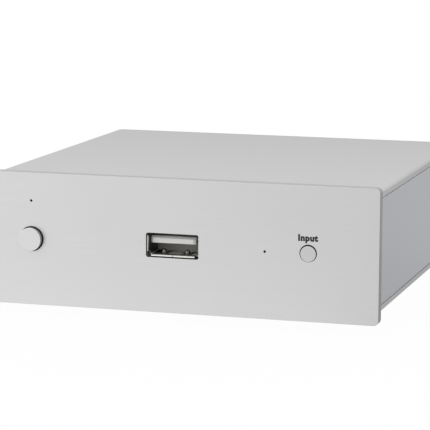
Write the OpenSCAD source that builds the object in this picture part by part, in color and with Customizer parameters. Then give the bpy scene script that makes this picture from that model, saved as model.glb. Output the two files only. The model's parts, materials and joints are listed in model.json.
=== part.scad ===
// Compact network music streamer: a silver aluminium case with a thick front plate.
// Sizes in millimetres. X runs to the right seen from the front, Y from front to back, Z up.
// Depths are measured from the face of the front plate; the whole part is then centred on its box.

/* [Front plate] */
// Width of the front plate
plate_w = 103; // [98:0.5:112]
// Height of the front plate
plate_h = 34.3; // [33:0.1:40]
// Thickness of the front plate
plate_t = 3; // [2.6:0.1:4]
// Radius of the front plate's four corners
plate_corner_r = 1.3; // [0.8:0.1:2.5]
// Rounding along the edges of the front face
plate_edge_r = 0.15; // [0.1:0.05:0.4]
// Height of the front plate's lower edge above the shelf
plate_lift = 2.7; // [1.5:0.1:5]

/* [Case] */
// How far the front plate stands out past each side of the case
side_overhang = 0.25; // [0:0.05:1]
// How far the front plate stands out above the lid
top_overhang = 0.85; // [0.2:0.05:2]
// How far the front plate hangs below the floor
bottom_overhang = 3; // [1:0.1:4]
// Depth from the front face to the rear face of the rear panel
body_d = 102.5; // [98:0.5:125]
// Thickness of the lid and the floor
cover_t = 1.2; // [1:0.05:1.4]
// Outer bend radius along the sides of the lid
lid_bend_r = 0.7; // [0.3:0.05:1.1]
// Outer bend radius along the sides of the floor
floor_bend_r = 0.3; // [0.2:0.05:1.1]
// Height of the lid's side flange
top_flange_h = 1.85; // [1.6:0.05:3]
// Height of the floor's side flange
bottom_flange_h = 1.5; // [1.45:0.05:3]
// Height of the shadow groove between a flange and the side wall
groove_w = 0.15; // [0.1:0.05:0.5]
// Thickness of the side walls
rail_wall = 2.2; // [2:0.1:3]
// Thickness of the inner front panel
sub_panel_t = 1.5; // [1.2:0.1:2.5]
// Thickness of the rear panel
rear_panel_t = 1.5; // [1.2:0.1:2.5]
// Step from the case outline in to the rear panel's edge
rear_reveal = 0.15; // [0.05:0.05:0.4]

/* [Guides in the side walls] */
// Reach of the rail's lip that a cover hooks onto
lip_w = 2; // [1.5:0.1:2.5]
// Thickness of the rail's lip
lip_t = 1; // [0.8:0.1:1.4]
// Thickness of a cover's hook
hook_t = 1; // [0.8:0.1:1.4]
// Sliding clearance of the covers, the inner panel and the main board
slide_gap = 0.15; // [0.1:0.05:0.25]
// Reach of the ribs that hold the main board
card_rib_w = 2.5; // [1.5:0.1:3]
// Thickness of the ribs that hold the main board
card_rib_t = 0.9; // [0.6:0.1:1.2]

/* [Fasteners] */
// Shank diameter of the case screws
screw_d = 2.8; // [2.2:0.1:3]
// Head diameter of the case screws
screw_head_d = 5.4; // [4.6:0.1:5.8]
// Head height of the case screws
screw_head_h = 1.9; // [1.4:0.1:2.2]
// Reach of a case screw into its port
screw_reach = 8; // [5:0.5:12]
// Wall round a screw port
port_wall = 1; // [0.8:0.1:1.2]
// Diameter of the front plate's studs
stud_d = 2.5; // [2:0.1:3]
// Depth of a stud in the front plate
stud_seat = 1.6; // [1:0.1:1.9]
// Distance of the studs from the middle of the plate
stud_x = 20; // [16:0.5:24]
// Width across the flats of a stud's nut
nut_af = 5; // [4.5:0.1:5.5]
// Thickness of a stud's nut
nut_h = 2; // [1.4:0.1:2.4]
// Shank diameter of the control board's screws
small_screw_d = 2; // [1.6:0.1:2.2]
// Head diameter of the control board's screws
small_head_d = 3.6; // [3:0.1:4]
// Head height of the control board's screws
small_head_h = 1.3; // [1:0.1:1.6]
// Clearance all round a screw, stud or pressed piece
fit_gap = 0.05; // [0.03:0.01:0.08]

/* [Feet] */
// Diameter of a foot
foot_d = 10; // [9:0.5:13]
// Distance of a foot's axis from the side of the case
foot_inset_x = 16; // [12:0.5:22]
// Distance of a foot's axis from the end of the case
foot_inset_y = 14; // [10:0.5:24]
// Depth of the pocket for the screw head under a foot
foot_pocket_h = 3.2; // [2.6:0.1:3.6]
// Height of the threaded bush on the floor
foot_bush_h = 2.5; // [1.5:0.1:3]

/* [Buttons and lamps] */
// Distance of the power button from the plate's left end
power_inset = 11.7; // [11:0.1:14]
// Diameter of the power button
power_cap_d = 6; // [5:0.1:6.4]
// How far the power button stands out of the plate
power_proud = 1.6; // [0.8:0.1:2.5]
// Distance of the source button from the plate's right end
source_inset = 18; // [17:0.1:22]
// Diameter of the source button
source_cap_d = 4; // [3.2:0.1:4.4]
// How far the source button stands out of the plate
source_proud = 0.25; // [0.2:0.05:1]
// Gap round a button in its hole
button_gap = 0.24; // [0.15:0.01:0.35]
// Travel of both buttons
button_travel = 0.5; // [0.2:0.05:0.5]
// Reach of the collar that keeps a button behind the plate
collar_w = 1; // [0.7:0.1:1.2]
// Thickness of the collar
collar_t = 1; // [0.7:0.1:1.2]
// Wall of a button cap round its pusher
cap_wall = 0.9; // [0.7:0.1:1.1]
// Diameter of the lamp pinholes
lamp_hole_d = 0.6; // [0.4:0.05:1]
// Height of the power lamp above the power button
power_lamp_up = 9.9; // [9.2:0.1:11]
// Distance of the source lamp to the left of the source button
source_lamp_left = 11.2; // [10:0.1:13]
// Diameter of the light pipes
pipe_d = 2; // [1.6:0.1:2.4]
// Plate thickness left in front of a light pipe
pipe_web = 0.8; // [0.5:0.1:1.2]
// Diameter of a light pipe's collar
pipe_collar_d = 3.4; // [3:0.1:4]
// Side of the push switches
switch_w = 6; // [5:0.1:6.2]
// Height of the push switches
switch_h = 3.5; // [3:0.1:3.7]
// Diameter of a switch plunger
plunger_d = 3.4; // [2.6:0.1:3.6]
// How far a plunger stands out of its switch
plunger_out = 1.5; // [1:0.1:1.6]
// Size of a lamp on the control board
lamp_w = 1.8; // [1.2:0.1:2.2]
// Height of a lamp on the control board
lamp_h = 0.8; // [0.6:0.1:1]

/* [Boards] */
// Thickness of the circuit boards
board_t = 1.6; // [1.2:0.1:1.8]
// Length of the control board's spacers
spacer_h = 5.5; // [5.4:0.1:6]
// Outer diameter of the control board's spacers
spacer_d = 4.2; // [4:0.1:4.4]
// Distance of the spacers from the control board's side edge
spacer_inset_x = 12.5; // [11.5:0.1:14]
// Distance of the spacers from the control board's long edges
spacer_inset_z = 3; // [2.6:0.1:3.2]
// Width of the main board's tab under the USB socket
usb_tab_w = 20; // [17:0.5:22]
// Distance of the ribbon from the middle
ribbon_x = 16; // [15:0.5:19]
// Width of the ribbon
ribbon_w = 10; // [6:0.5:12]
// Thickness of the ribbon
ribbon_t = 0.3; // [0.2:0.05:0.5]
// Bend radius of the ribbon
ribbon_bend = 4; // [3:0.1:4.5]

/* [USB socket] */
// Position of the USB socket from the middle of the plate
usb_x = -1.9; // [-4:0.1:4]
// Inner width of the socket
usb_open_w = 12.5; // [12:0.1:13]
// Inner height of the socket
usb_open_h = 5.1; // [4.9:0.1:5.4]
// Sheet thickness of the shell
usb_sheet = 0.3; // [0.2:0.05:0.4]
// Depth of the shell behind the front face
usb_depth = 14.3; // [13:0.1:16]
// Depth of the shell's lips behind the front face
usb_recess = 0.3; // [0.1:0.05:0.8]
// Length of the flared lips
usb_lip_len = 0.9; // [0.5:0.1:1.4]
// Flare of the lips at the sides
usb_flare_x = 0.3; // [0.1:0.05:0.4]
// Flare of the lips above and below
usb_flare_z = 0.14; // [0.05:0.01:0.25]
// Width of the upper and lower lips
usb_lip_w = 11.5; // [9:0.1:12]
// Height of the side lips
usb_lip_h = 3.6; // [2.5:0.1:4]
// Gap between the lips and the cutout in the plate
usb_window_gap = 0.09; // [0.05:0.01:0.3]
// Corner radius of the cutout in the plate
usb_window_r = 0.5; // [0.2:0.05:1]
// Width of the tongue
tongue_w = 11.1; // [10.5:0.1:11.4]
// Thickness of the tongue
tongue_t = 1.75; // [1.6:0.05:1.9]
// Gap above the tongue
tongue_drop = 0.55; // [0.4:0.05:0.8]
// Depth of the tongue's end behind the front face
tongue_recess = 2; // [1.9:0.1:2.8]
// Distance of the spring fingers from the middle of the socket
finger_x = 3.1; // [2.6:0.1:3.6]
// Width of a spring finger
finger_w = 1.2; // [0.8:0.1:1.6]
// Length of a spring finger
finger_len = 7; // [5:0.1:8]
// Width of the slot round a spring finger
finger_slot = 0.4; // [0.3:0.05:0.6]

/* [Rear sockets] */
// How far the line out sleeves and the antenna socket stand behind the rear panel
jack_proud = 7.5; // [6:0.1:10]
// How far the other sockets stand behind the rear panel
nose_proud = 0.2; // [0:0.05:1]
// Gap round a socket in the rear panel
window_gap = 0.2; // [0.15:0.05:0.4]
// Distance between the line out sockets
line_pitch = 14; // [13:0.1:14.5]
// Height of the line out sockets above the main board
line_up = 6; // [5.8:0.1:7]
// Outer diameter of a line out sleeve
line_d = 8.3; // [8:0.05:8.5]
// Wall of a line out sleeve
line_wall = 0.6; // [0.45:0.05:0.8]
// Bore of a line out centre contact
line_bore = 3.2; // [3:0.05:3.4]
// Diameter of the plastic collar round a line out sleeve
line_collar_d = 10.8; // [10.2:0.1:11.2]
// Depth of the line out housing inside the panel
line_housing_d = 11; // [9:0.5:13]
// Width of the optical socket
optical_w = 9.8; // [9.4:0.1:10.2]
// Height of the optical socket
optical_h = 10; // [9.8:0.1:11]
// Depth of the optical socket
optical_d = 13.5; // [12:0.5:16]
// Side of the optical socket's square mouth
optical_mouth = 6.2; // [5.9:0.1:6.3]
// Thickness of the optical shutter
shutter_t = 0.8; // [0.6:0.05:0.9]
// Depth of the closed shutter behind the socket's face
shutter_recess = 1; // [0.8:0.1:1.3]
// Radius of the shutter's hinge pin
shutter_pin_r = 0.55; // [0.45:0.05:0.6]
// Running clearance of the hinge pin
shutter_pin_gap = 0.06; // [0.04:0.01:0.09]
// Width of the network jack
lan_w = 16; // [15.6:0.1:16.4]
// Height of the network jack
lan_h = 13.4; // [13:0.1:14]
// Depth of the network jack
lan_d = 16; // [15:0.5:18]
// Sheet thickness of the network jack's shell
lan_sheet = 0.3; // [0.2:0.05:0.4]
// Width of the power inlet
inlet_w = 9; // [8.6:0.1:9.4]
// Height of the power inlet
inlet_h = 11; // [10.4:0.1:11.4]
// Depth of the power inlet
inlet_d = 14; // [12:0.5:16]
// Bore of the power inlet
inlet_bore = 6.3; // [6:0.1:6.5]
// Diameter of the power inlet's pin
inlet_pin_d = 2.1; // [2:0.05:2.5]
// Height of the antenna socket above the main board
antenna_up = 11; // [10.6:0.1:11.6]
// Thread diameter of the antenna socket
antenna_d = 6.35; // [6:0.05:6.5]
// Width across the flats of the antenna socket's nut
antenna_af = 8; // [7.8:0.1:8.4]
// Thickness of the antenna socket's nut
antenna_nut_h = 2.2; // [1.8:0.1:2.8]
// Diameter of the antenna lead
lead_d = 1.4; // [1.1:0.05:1.8]

/* [Hidden] */
$fn = 48;

// Planes of the case
plate_z0 = plate_lift;
plate_z1 = plate_lift + plate_h;
control_z = (plate_z0 + plate_z1) / 2;
case_x = plate_w / 2 - side_overhang;
case_z0 = plate_z0 + bottom_overhang;
case_z1 = plate_z1 - top_overhang;
sub_y0 = plate_t;
sub_y1 = plate_t + sub_panel_t;
rear_y1 = body_d;
rear_y0 = body_d - rear_panel_t;
back_end = body_d + jack_proud;
nose_y = rear_y1 + nose_proud;
middle_y = (back_end - power_proud) / 2;
wall_in = case_x - rail_wall;
tongue_out = case_x - cover_t - slide_gap;
hook_x = wall_in - lip_w - slide_gap;
hook_h = lip_t + slide_gap + hook_t;
sub_x = wall_in - slide_gap;
sub_z0 = case_z0 + cover_t + slide_gap;
sub_z1 = case_z1 - cover_t - slide_gap;

// Screw ports in the side rails
port_bore = screw_d + 2 * fit_gap;
port_r = port_bore / 2 + port_wall;
port_edge = 0.3;
port_x = sub_x - port_edge - screw_head_d / 2;
port_inset = cover_t + hook_h + 2 * slide_gap + port_r;
port_z = [case_z0 + port_inset, case_z1 - port_inset];

// Controls
power_x = -plate_w / 2 + power_inset;
source_x = plate_w / 2 - source_inset;
power_lamp = [power_x, control_z + power_lamp_up];
source_lamp = [source_x - source_lamp_left, control_z];
collar_y0 = plate_t + fit_gap;
collar_y1 = collar_y0 + collar_t;
collar_room = 0.3;
cap_floor = 1.5;
stud_inset_z = 4;
stud_z = [sub_z0 + stud_inset_z, sub_z1 - stud_inset_z];
stud_out = 0.5;

// Control board
control_y0 = sub_y1 + spacer_h;
control_y1 = control_y0 + board_t;
control_gap = 0.3;
control_foot = 4;
control_head = 2;
control_x = port_x - port_r - control_gap;
control_z0 = sub_z0 + control_foot;
control_z1 = sub_z1 - control_head;
spacer_x = control_x - spacer_inset_x;
spacer_z = [control_z0 + spacer_inset_z, control_z1 - spacer_inset_z];
plunger_y0 = control_y0 - switch_h - plunger_out;
plunger_floor = 0.7;
plunger_play = 0.2;
pipe_y0 = pipe_web;
pipe_y1 = control_y0 - lamp_h - 0.2;
pipe_collar_t = 0.8;

// USB socket and main board
usb_z = control_z;
usb_out_w = usb_open_w + 2 * usb_sheet;
usb_out_h = usb_open_h + 2 * usb_sheet;
usb_tube_y = usb_recess + usb_lip_len;
usb_floor_z = usb_z - usb_open_h / 2;
usb_base_len = 3.3;
usb_contact_x = [-3.5, -1, 1, 3.5];
usb_contact_w = 1;
usb_contact_t = 0.15;
tongue_z1 = usb_z + usb_open_h / 2 - tongue_drop;
tongue_z0 = tongue_z1 - tongue_t;
bump_r = 0.75;
bump_h = 0.4;
finger_y = usb_tube_y + 1.2;
board_z1 = usb_z - usb_out_h / 2;
board_z0 = board_z1 - board_t;
board_x = wall_in - 2 * slide_gap;
board_y0 = control_y1 + small_head_h + control_gap;
board_y1 = rear_y0 - slide_gap;
usb_tab_y0 = sub_y1 + slide_gap;
usb_notch_gap = 0.6;

// Ribbon between the boards
ribbon_socket = [ribbon_w + 2, 2.5, 4];
ribbon_up = 6;
ribbon_z = control_z + ribbon_up;
ribbon_run = 3;
ribbon_y0 = control_y1 + ribbon_socket[1];
ribbon_drop_y = ribbon_y0 + ribbon_run + ribbon_bend;

// Network module on the main board
module_w = 36;
module_d = 40;
module_edge = 4.75;
module_setback = 19;
module_x = -board_x + module_edge + module_w / 2;
module_y = rear_y0 - module_setback - module_d / 2;
module_t = 1.2;
header_h = 4.5;
header_w = 30;
header_d = 4;
module_z0 = board_z1 + header_h;
module_z1 = module_z0 + module_t;
shield = [26, 24, 3];
shield_sheet = 0.4;

// Parts on the main board: capacitors in a grid, with the chips in front of them
cap_d = 8;
cap_h = 11;
cap_pitch = 11;
cap_edge = 6.75;
cap_setback = 25;
cap_x = board_x - cap_edge - cap_d / 2 - 2 * cap_pitch;
cap_y = rear_y0 - cap_setback - cap_d / 2 - cap_pitch;
processor = [12, 12, 1.4];
converter = [10, 10, 1.5];
amplifier = [5, 4, 1.5];
amplifier_pitch = 8;
inductor = [7, 7, 4];
regulator = [6.5, 6.5, 2.3];
chip_gap = 3;
chip_y = cap_y - cap_d / 2 - chip_gap;

// Rear sockets, side by side with even gaps: antenna, network, optical, line out and power
washer_d = antenna_af + 1.4;
line_side = 6;
line_housing_w = line_pitch + 2 * line_side;
socket_gap = (2 * control_x - washer_d - lan_w - optical_w - line_housing_w - inlet_w) / 6;
antenna_x = -control_x + socket_gap + washer_d / 2;
lan_x = antenna_x + (washer_d + lan_w) / 2 + socket_gap;
optical_x = lan_x + (lan_w + optical_w) / 2 + socket_gap;
line_mid_x = optical_x + (optical_w + line_housing_w) / 2 + socket_gap;
inlet_x = line_mid_x + (line_housing_w + inlet_w) / 2 + socket_gap;
line_xs = [line_mid_x - line_pitch / 2, line_mid_x + line_pitch / 2];
line_z = board_z1 + line_up;
line_top = 6.2;
line_y0 = rear_y0 - 2;
line_insert_d = line_d - 2 * line_wall - 2 * fit_gap;
line_shank_d = line_d - 0.4;
line_contact_d = line_bore + 0.8;
line_insert_back = 0.8;
optical_up = 4.6;
optical_z = board_z1 + optical_up;
optical_y0 = nose_y - optical_d;
optical_cavity = 9;
shutter_gap = 0.15;
hinge_y = nose_y - shutter_recess - shutter_t / 2;
hinge_z = optical_z + optical_mouth / 2 + shutter_pin_r;
hinge_half = optical_mouth / 2 + 0.7;
hinge_room = shutter_pin_r + 0.2;
shutter_len = optical_mouth + shutter_pin_r - shutter_gap;
lan_z0 = board_z1;
lan_z = lan_z0 + lan_h / 2;
lan_y0 = nose_y - lan_d;
lan_plug_w = 11.9;
lan_plug_h = 6.8;
lan_plug_down = 2.2;
lan_plug_z = lan_z - lan_plug_down;
lan_plug_d = 12;
lan_latch_w = 6.2;
lan_latch_h = 1.6;
lan_face = 0.3;
lan_lamp = [2.6, 6, 1.6];
lan_lamp_x = 5.6;
lan_lamp_up = 4.9;
lan_lamp_z = lan_z + lan_lamp_up;
lan_pitch = 1.02;
lan_wire = 0.4;
lan_wire_back = 2;
lan_wire_root = 1;
lan_wire_len = 8;
lan_wire_drop = 2.3;
inlet_up = 6.3;
inlet_z = board_z1 + inlet_up;
inlet_y0 = nose_y - inlet_d;
inlet_collar_d = 8.2;
inlet_floor = 4;
inlet_pin_back = 1;
antenna_z = board_z1 + antenna_up;
antenna_neck_d = antenna_d - 0.35;
antenna_flange_h = 2.2;
antenna_tail_d = 3.2;
antenna_tail = 4.5;
antenna_mouth_d = 4.6;
antenna_mouth_h = 4;
antenna_pin_d = 1.3;
washer_h = 0.5;
lead_bend = 3;
lead_plug = [2.6, 1.2];
lead_y1 = rear_y0 - antenna_flange_h - antenna_tail;
lead_drop_y = module_y + module_d / 2 - 4;

// Feet
foot_x = case_x - foot_inset_x;
foot_ys = [plate_t + foot_inset_y, rear_y0 - foot_inset_y];
foot_h = case_z0;
foot_base_d = foot_d - 0.8;
foot_hole_d = screw_d + 0.4;
foot_pocket_d = screw_head_d + 0.8;
foot_bush_d = port_bore + 2 * port_wall;

brushed = "#d4d4d4";
silver = "#c4c5c7";
steel = "#b9bcc0";
black = "#1d1e20";
gold = "#c9a24a";
green = "#1f4d33";

// Moves a piece from the front plate's depth scale to the centred frame
module placed(paint) {
    color(paint) translate([0, -middle_y, 0]) children();
}

// Box between two opposite corners
module box(lo, hi) {
    translate(lo) cube(hi - lo);
}

// Outline in X and Z carried from depth y0 to depth y1
module along_y(y0, y1) {
    translate([0, y1, 0]) rotate([90, 0, 0]) linear_extrude(height = y1 - y0) children();
}

// Outline in Y and Z carried from x0 to x1
module along_x(x0, x1) {
    translate([x0, 0, 0]) rotate([90, 0, 90]) linear_extrude(height = x1 - x0) children();
}

// Round bar along Y
module rod(d, y0, y1) {
    translate([0, y0, 0]) rotate([-90, 0, 0]) cylinder(d = d, h = y1 - y0);
}

// Six-sided bar along Y, given across its flats
module hex_rod(af, y0, y1) {
    translate([0, y0, 0]) rotate([-90, 30, 0]) cylinder(d = af / cos(30), h = y1 - y0, $fn = 6);
}

// Rectangle about the origin with round corners
module round_rect(w, h, r) {
    square([w - 2 * r, h], center = true);
    square([w, h - 2 * r], center = true);
    for (x = [-1, 1], y = [-1, 1]) translate([x * (w / 2 - r), y * (h / 2 - r)]) circle(r);
}

// Slab section from depth 0 to t, with its two front corners rounded
module slab_section(t, lo, hi, r) {
    translate([r, lo]) square([t - r, hi - lo]);
    translate([0, lo + r]) square([t, hi - lo - 2 * r]);
    for (z = [lo + r, hi - r]) translate([r, z]) circle(r);
}

// Cross recess cut into a screw head whose top is at the origin, facing +Z
module cross_recess(d) {
    for (a = [0, 90]) rotate([0, 0, a]) cube([0.55 * d, 0.16 * d, 0.24 * d], center = true);
}

// Pan head screw: head above the origin, shank below, both along Z
module pan_screw(d, head_d, head_h, reach) {
    translate([0, 0, -reach]) cylinder(d = d, h = reach);
    difference() {
        cylinder(d1 = head_d, d2 = 0.8 * head_d, h = head_h);
        translate([0, 0, head_h]) cross_recess(head_d);
    }
}

// Front plate with its cutouts
module front_plate() placed(brushed) {
    difference() {
        intersection() {
            along_y(0, plate_t) translate([0, control_z]) round_rect(plate_w, plate_h, plate_corner_r);
            along_x(-plate_w / 2, plate_w / 2) slab_section(plate_t, plate_z0, plate_z1, plate_edge_r);
            translate([0, 0, plate_z0]) linear_extrude(height = plate_h)
                mirror([1, -1]) slab_section(plate_t, -plate_w / 2, plate_w / 2, plate_edge_r);
        }
        along_y(-1, plate_t + 1) translate([usb_x, usb_z])
            round_rect(usb_out_w + 2 * (usb_flare_x + usb_window_gap),
                       usb_out_h + 2 * (usb_flare_z + usb_window_gap), usb_window_r);
        translate([power_x, 0, control_z]) rod(power_cap_d + 2 * button_gap, -1, plate_t + 1);
        translate([source_x, 0, control_z]) rod(source_cap_d + 2 * button_gap, -1, plate_t + 1);
        for (p = [power_lamp, source_lamp]) translate([p[0], 0, p[1]]) {
            rod(lamp_hole_d, -1, plate_t);
            rod(pipe_d + 2 * fit_gap, pipe_web, plate_t + 1);
        }
        for (x = [-stud_x, stud_x], z = stud_z) translate([x, 0, z])
            rod(stud_d + 2 * fit_gap, plate_t - stud_seat, plate_t + 1);
    }
}

// Inner panel that carries the front plate and the control board
module front_sub_panel() placed(steel) {
    difference() {
        box([-sub_x, sub_y0, sub_z0], [sub_x, sub_y1, sub_z1]);
        along_y(sub_y0 - 1, sub_y1 + 1) translate([usb_x, usb_z])
            square([usb_out_w + 2 * collar_room, usb_out_h + 2 * collar_room], center = true);
        translate([power_x, 0, control_z])
            rod(power_cap_d + 2 * collar_w + 2 * collar_room, sub_y0 - 1, sub_y1 + 1);
        translate([source_x, 0, control_z])
            rod(source_cap_d + 2 * collar_w + 2 * collar_room, sub_y0 - 1, sub_y1 + 1);
        for (p = [power_lamp, source_lamp]) translate([p[0], 0, p[1]])
            rod(pipe_d + 2 * fit_gap, sub_y0 - 1, sub_y1 + 1);
        for (x = [-stud_x, stud_x], z = stud_z) translate([x, 0, z])
            rod(stud_d + 2 * fit_gap, sub_y0 - 1, sub_y1 + 1);
        for (x = [-spacer_x, spacer_x], z = spacer_z) translate([x, 0, z])
            rod(small_screw_d + 2 * fit_gap, sub_y0 - 1, sub_y1 + 1);
        for (x = [-port_x, port_x], z = port_z) translate([x, sub_y0, z])
            rotate([-90, 0, 0]) flat_screw_form(fit_gap, 0);
    }
}

// Countersunk head as thick as the inner panel, with a shank behind it, grown by a clearance
module flat_screw_form(grow, reach) {
    cylinder(d1 = screw_head_d + 2 * grow, d2 = screw_d + 2 * grow, h = sub_panel_t);
    translate([0, 0, sub_panel_t - 0.1]) cylinder(d = screw_d + 2 * grow, h = reach + 0.2);
}

// Section of the lid or the floor, measured inward from its outer face
module cover_section(flange_h, bend_r) {
    difference() {
        union() {
            translate([-case_x, bend_r]) square([2 * case_x, flange_h - bend_r]);
            translate([-case_x + bend_r, 0]) square([2 * (case_x - bend_r), flange_h]);
            for (x = [-1, 1]) translate([x * (case_x - bend_r), bend_r]) circle(bend_r);
        }
        translate([-case_x + cover_t, cover_t]) square([2 * (case_x - cover_t), flange_h]);
    }
}

// Section of the two hooks that ride under the rails' lips
module hook_section() {
    for (side = [0, 1]) mirror([side, 0]) {
        translate([hook_x - hook_t, cover_t - 0.1]) square([hook_t, hook_h + 0.1]);
        translate([hook_x - 0.1, cover_t + lip_t + slide_gap]) square([lip_w - slide_gap, hook_t]);
    }
}

// Lid: a flat sheet with short flanges, hooked onto the rails
module top_cover() placed(silver) {
    along_y(plate_t, rear_y0) translate([0, case_z1]) mirror([0, 1]) cover_section(top_flange_h, lid_bend_r);
    along_y(sub_y1, rear_y0) translate([0, case_z1]) mirror([0, 1]) hook_section();
}

// Floor: like the lid, with a threaded bush over each foot
module bottom_cover() placed(silver) {
    difference() {
        union() {
            along_y(plate_t, rear_y0) translate([0, case_z0]) cover_section(bottom_flange_h, floor_bend_r);
            along_y(sub_y1, rear_y0) translate([0, case_z0]) hook_section();
            at_feet() translate([0, 0, case_z0 + cover_t - 0.1])
                cylinder(d = foot_bush_d, h = foot_bush_h + 0.1);
        }
        at_feet() translate([0, 0, case_z0 - 1])
            cylinder(d = port_bore, h = cover_t + foot_bush_h + 2);
    }
}

// Repeats a piece at the four feet
module at_feet() {
    for (x = [-foot_x, foot_x], y = foot_ys) translate([x, y, 0]) children();
}

// Outer wall of the right rail, with the tongues behind the cover flanges
module rail_wall_section() {
    translate([wall_in, case_z0 + bottom_flange_h + groove_w])
        square([rail_wall, case_z1 - case_z0 - top_flange_h - bottom_flange_h - 2 * groove_w]);
    translate([wall_in, case_z0 + cover_t])
        square([tongue_out - wall_in, case_z1 - case_z0 - 2 * cover_t]);
}

// Inner features of the right rail: lips, screw ports and card ribs
module rail_inner_section() {
    for (z = [case_z0 + cover_t, case_z1 - cover_t - lip_t])
        translate([wall_in - lip_w, z]) square([lip_w + 0.1, lip_t]);
    for (z = [board_z0 - slide_gap - card_rib_t, board_z1 + slide_gap])
        translate([wall_in - card_rib_w, z]) square([card_rib_w + 0.1, card_rib_t]);
    for (z = port_z) translate([port_x, z]) difference() {
        union() {
            circle(port_r);
            translate([0, -port_r / 2]) square([wall_in - port_x + 0.1, port_r]);
        }
        circle(d = port_bore);
    }
}

// Right side rail: an extrusion, set back at the front for the inner panel
module side_rail() {
    difference() {
        union() {
            along_y(plate_t, rear_y0) rail_wall_section();
            along_y(sub_y1, rear_y0) rail_inner_section();
        }
        for (z = port_z) translate([port_x, 0, z]) rod(port_bore, sub_y1 - 1, rear_y0 + 1);
    }
}

module right_side_rail() placed(silver) {
    side_rail();
}

module left_side_rail() placed(silver) {
    mirror([1, 0, 0]) side_rail();
}

// Rear panel with a window for every socket
module rear_panel() placed(black) {
    difference() {
        along_y(rear_y0, rear_y1) translate([0, (case_z0 + case_z1) / 2])
            round_rect(2 * (case_x - rear_reveal), case_z1 - case_z0 - 2 * rear_reveal, lid_bend_r);
        for (x = line_xs) translate([x, 0, line_z])
            rod(line_collar_d + 2 * window_gap, rear_y0 - 1, rear_y1 + 1);
        box([optical_x - optical_w / 2 - window_gap, rear_y0 - 1, board_z1 - window_gap],
            [optical_x + optical_w / 2 + window_gap, rear_y1 + 1, board_z1 + optical_h + window_gap]);
        box([lan_x - lan_w / 2 - window_gap, rear_y0 - 1, lan_z0 - window_gap],
            [lan_x + lan_w / 2 + window_gap, rear_y1 + 1, lan_z0 + lan_h + window_gap]);
        translate([inlet_x, 0, inlet_z]) rod(inlet_collar_d + 2 * window_gap, rear_y0 - 1, rear_y1 + 1);
        translate([antenna_x, 0, antenna_z]) rod(antenna_neck_d + 2 * fit_gap, rear_y0 - 1, rear_y1 + 1);
        for (x = [-port_x, port_x], z = port_z) translate([x, 0, z])
            rod(port_bore, rear_y0 - 1, rear_y1 + 1);
    }
}

// Rubber foot with a pocket for its screw
module foot(x, y) placed("#222222") {
    translate([x, y, 0]) difference() {
        cylinder(d1 = foot_base_d, d2 = foot_d, h = foot_h);
        translate([0, 0, -1]) cylinder(d = foot_hole_d, h = foot_h + 2);
        translate([0, 0, -1]) cylinder(d = foot_pocket_d, h = foot_pocket_h + 1);
    }
}

module foot_front_left() {
    foot(-foot_x, foot_ys[0]);
}

module foot_front_right() {
    foot(foot_x, foot_ys[0]);
}

module foot_rear_left() {
    foot(-foot_x, foot_ys[1]);
}

module foot_rear_right() {
    foot(foot_x, foot_ys[1]);
}

module foot_screws() placed(steel) {
    at_feet() translate([0, 0, foot_pocket_h]) mirror([0, 0, 1])
        pan_screw(screw_d, screw_head_d, screw_head_h, foot_h - foot_pocket_h + cover_t + foot_bush_h);
}

module front_plate_studs() placed(steel) {
    for (x = [-stud_x, stud_x], z = stud_z) translate([x, 0, z])
        rod(stud_d, plate_t - stud_seat, sub_y1 + nut_h + stud_out);
}

module front_plate_nuts() placed(steel) {
    for (x = [-stud_x, stud_x], z = stud_z) translate([x, 0, z]) difference() {
        hex_rod(nut_af, sub_y1, sub_y1 + nut_h);
        rod(stud_d + 2 * fit_gap, sub_y1 - 1, sub_y1 + nut_h + 1);
    }
}

module sub_panel_screws() placed(steel) {
    for (x = [-port_x, port_x], z = port_z) translate([x, sub_y0, z]) rotate([-90, 0, 0]) difference() {
        flat_screw_form(0, screw_reach);
        cross_recess(screw_head_d);
    }
}

module rear_panel_screws() placed(steel) {
    for (x = [-port_x, port_x], z = port_z) translate([x, rear_y1, z]) rotate([-90, 0, 0])
        pan_screw(screw_d, screw_head_d, screw_head_h, screw_reach);
}

// Button cap, hollow at the back for its pusher
module button_cap(x, d, proud) placed(brushed) {
    translate([x, 0, control_z]) difference() {
        rod(d, -proud, collar_y0);
        rod(d - 2 * cap_wall, cap_floor - proud, collar_y0 + 1);
    }
}

// Pusher: a spigot in the cap, a collar behind the plate and a tail that meets the switch
module button_pusher(x, d, proud) placed(black) {
    translate([x, 0, control_z]) {
        rod(d - 2 * cap_wall - 2 * fit_gap, cap_floor - proud + 0.2, collar_y0 + 0.1);
        rod(d + 2 * collar_w, collar_y0, collar_y1);
        rod(plunger_d, collar_y1 - 0.1, plunger_y0);
    }
}

// Push switch: a square body with a round well
module switch_body(x) placed(black) {
    translate([x, 0, control_z]) difference() {
        along_y(control_y0 - switch_h, control_y0) square(switch_w, center = true);
        rod(plunger_d + 2 * button_gap, control_y0 - switch_h - 1, control_y0 - plunger_floor);
    }
}

module switch_plunger(x) placed("#d9d5c8") {
    translate([x, 0, control_z])
        rod(plunger_d, plunger_y0, control_y0 - plunger_floor - button_travel - plunger_play);
}

module power_button_cap() {
    button_cap(power_x, power_cap_d, power_proud);
}

module power_button_pusher() {
    button_pusher(power_x, power_cap_d, power_proud);
}

module power_switch_body() {
    switch_body(power_x);
}

module power_switch_plunger() {
    switch_plunger(power_x);
}

module source_button_cap() {
    button_cap(source_x, source_cap_d, source_proud);
}

module source_button_pusher() {
    button_pusher(source_x, source_cap_d, source_proud);
}

module source_switch_body() {
    switch_body(source_x);
}

module source_switch_plunger() {
    switch_plunger(source_x);
}

// Lamp on the face of the control board
module lamp_chip(p) placed("#f0efe6") {
    translate([p[0], 0, p[1]]) along_y(control_y0 - lamp_h, control_y0) square(lamp_w, center = true);
}

module power_lamp_chip() {
    lamp_chip(power_lamp);
}

module source_lamp_chip() {
    lamp_chip(source_lamp);
}

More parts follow.
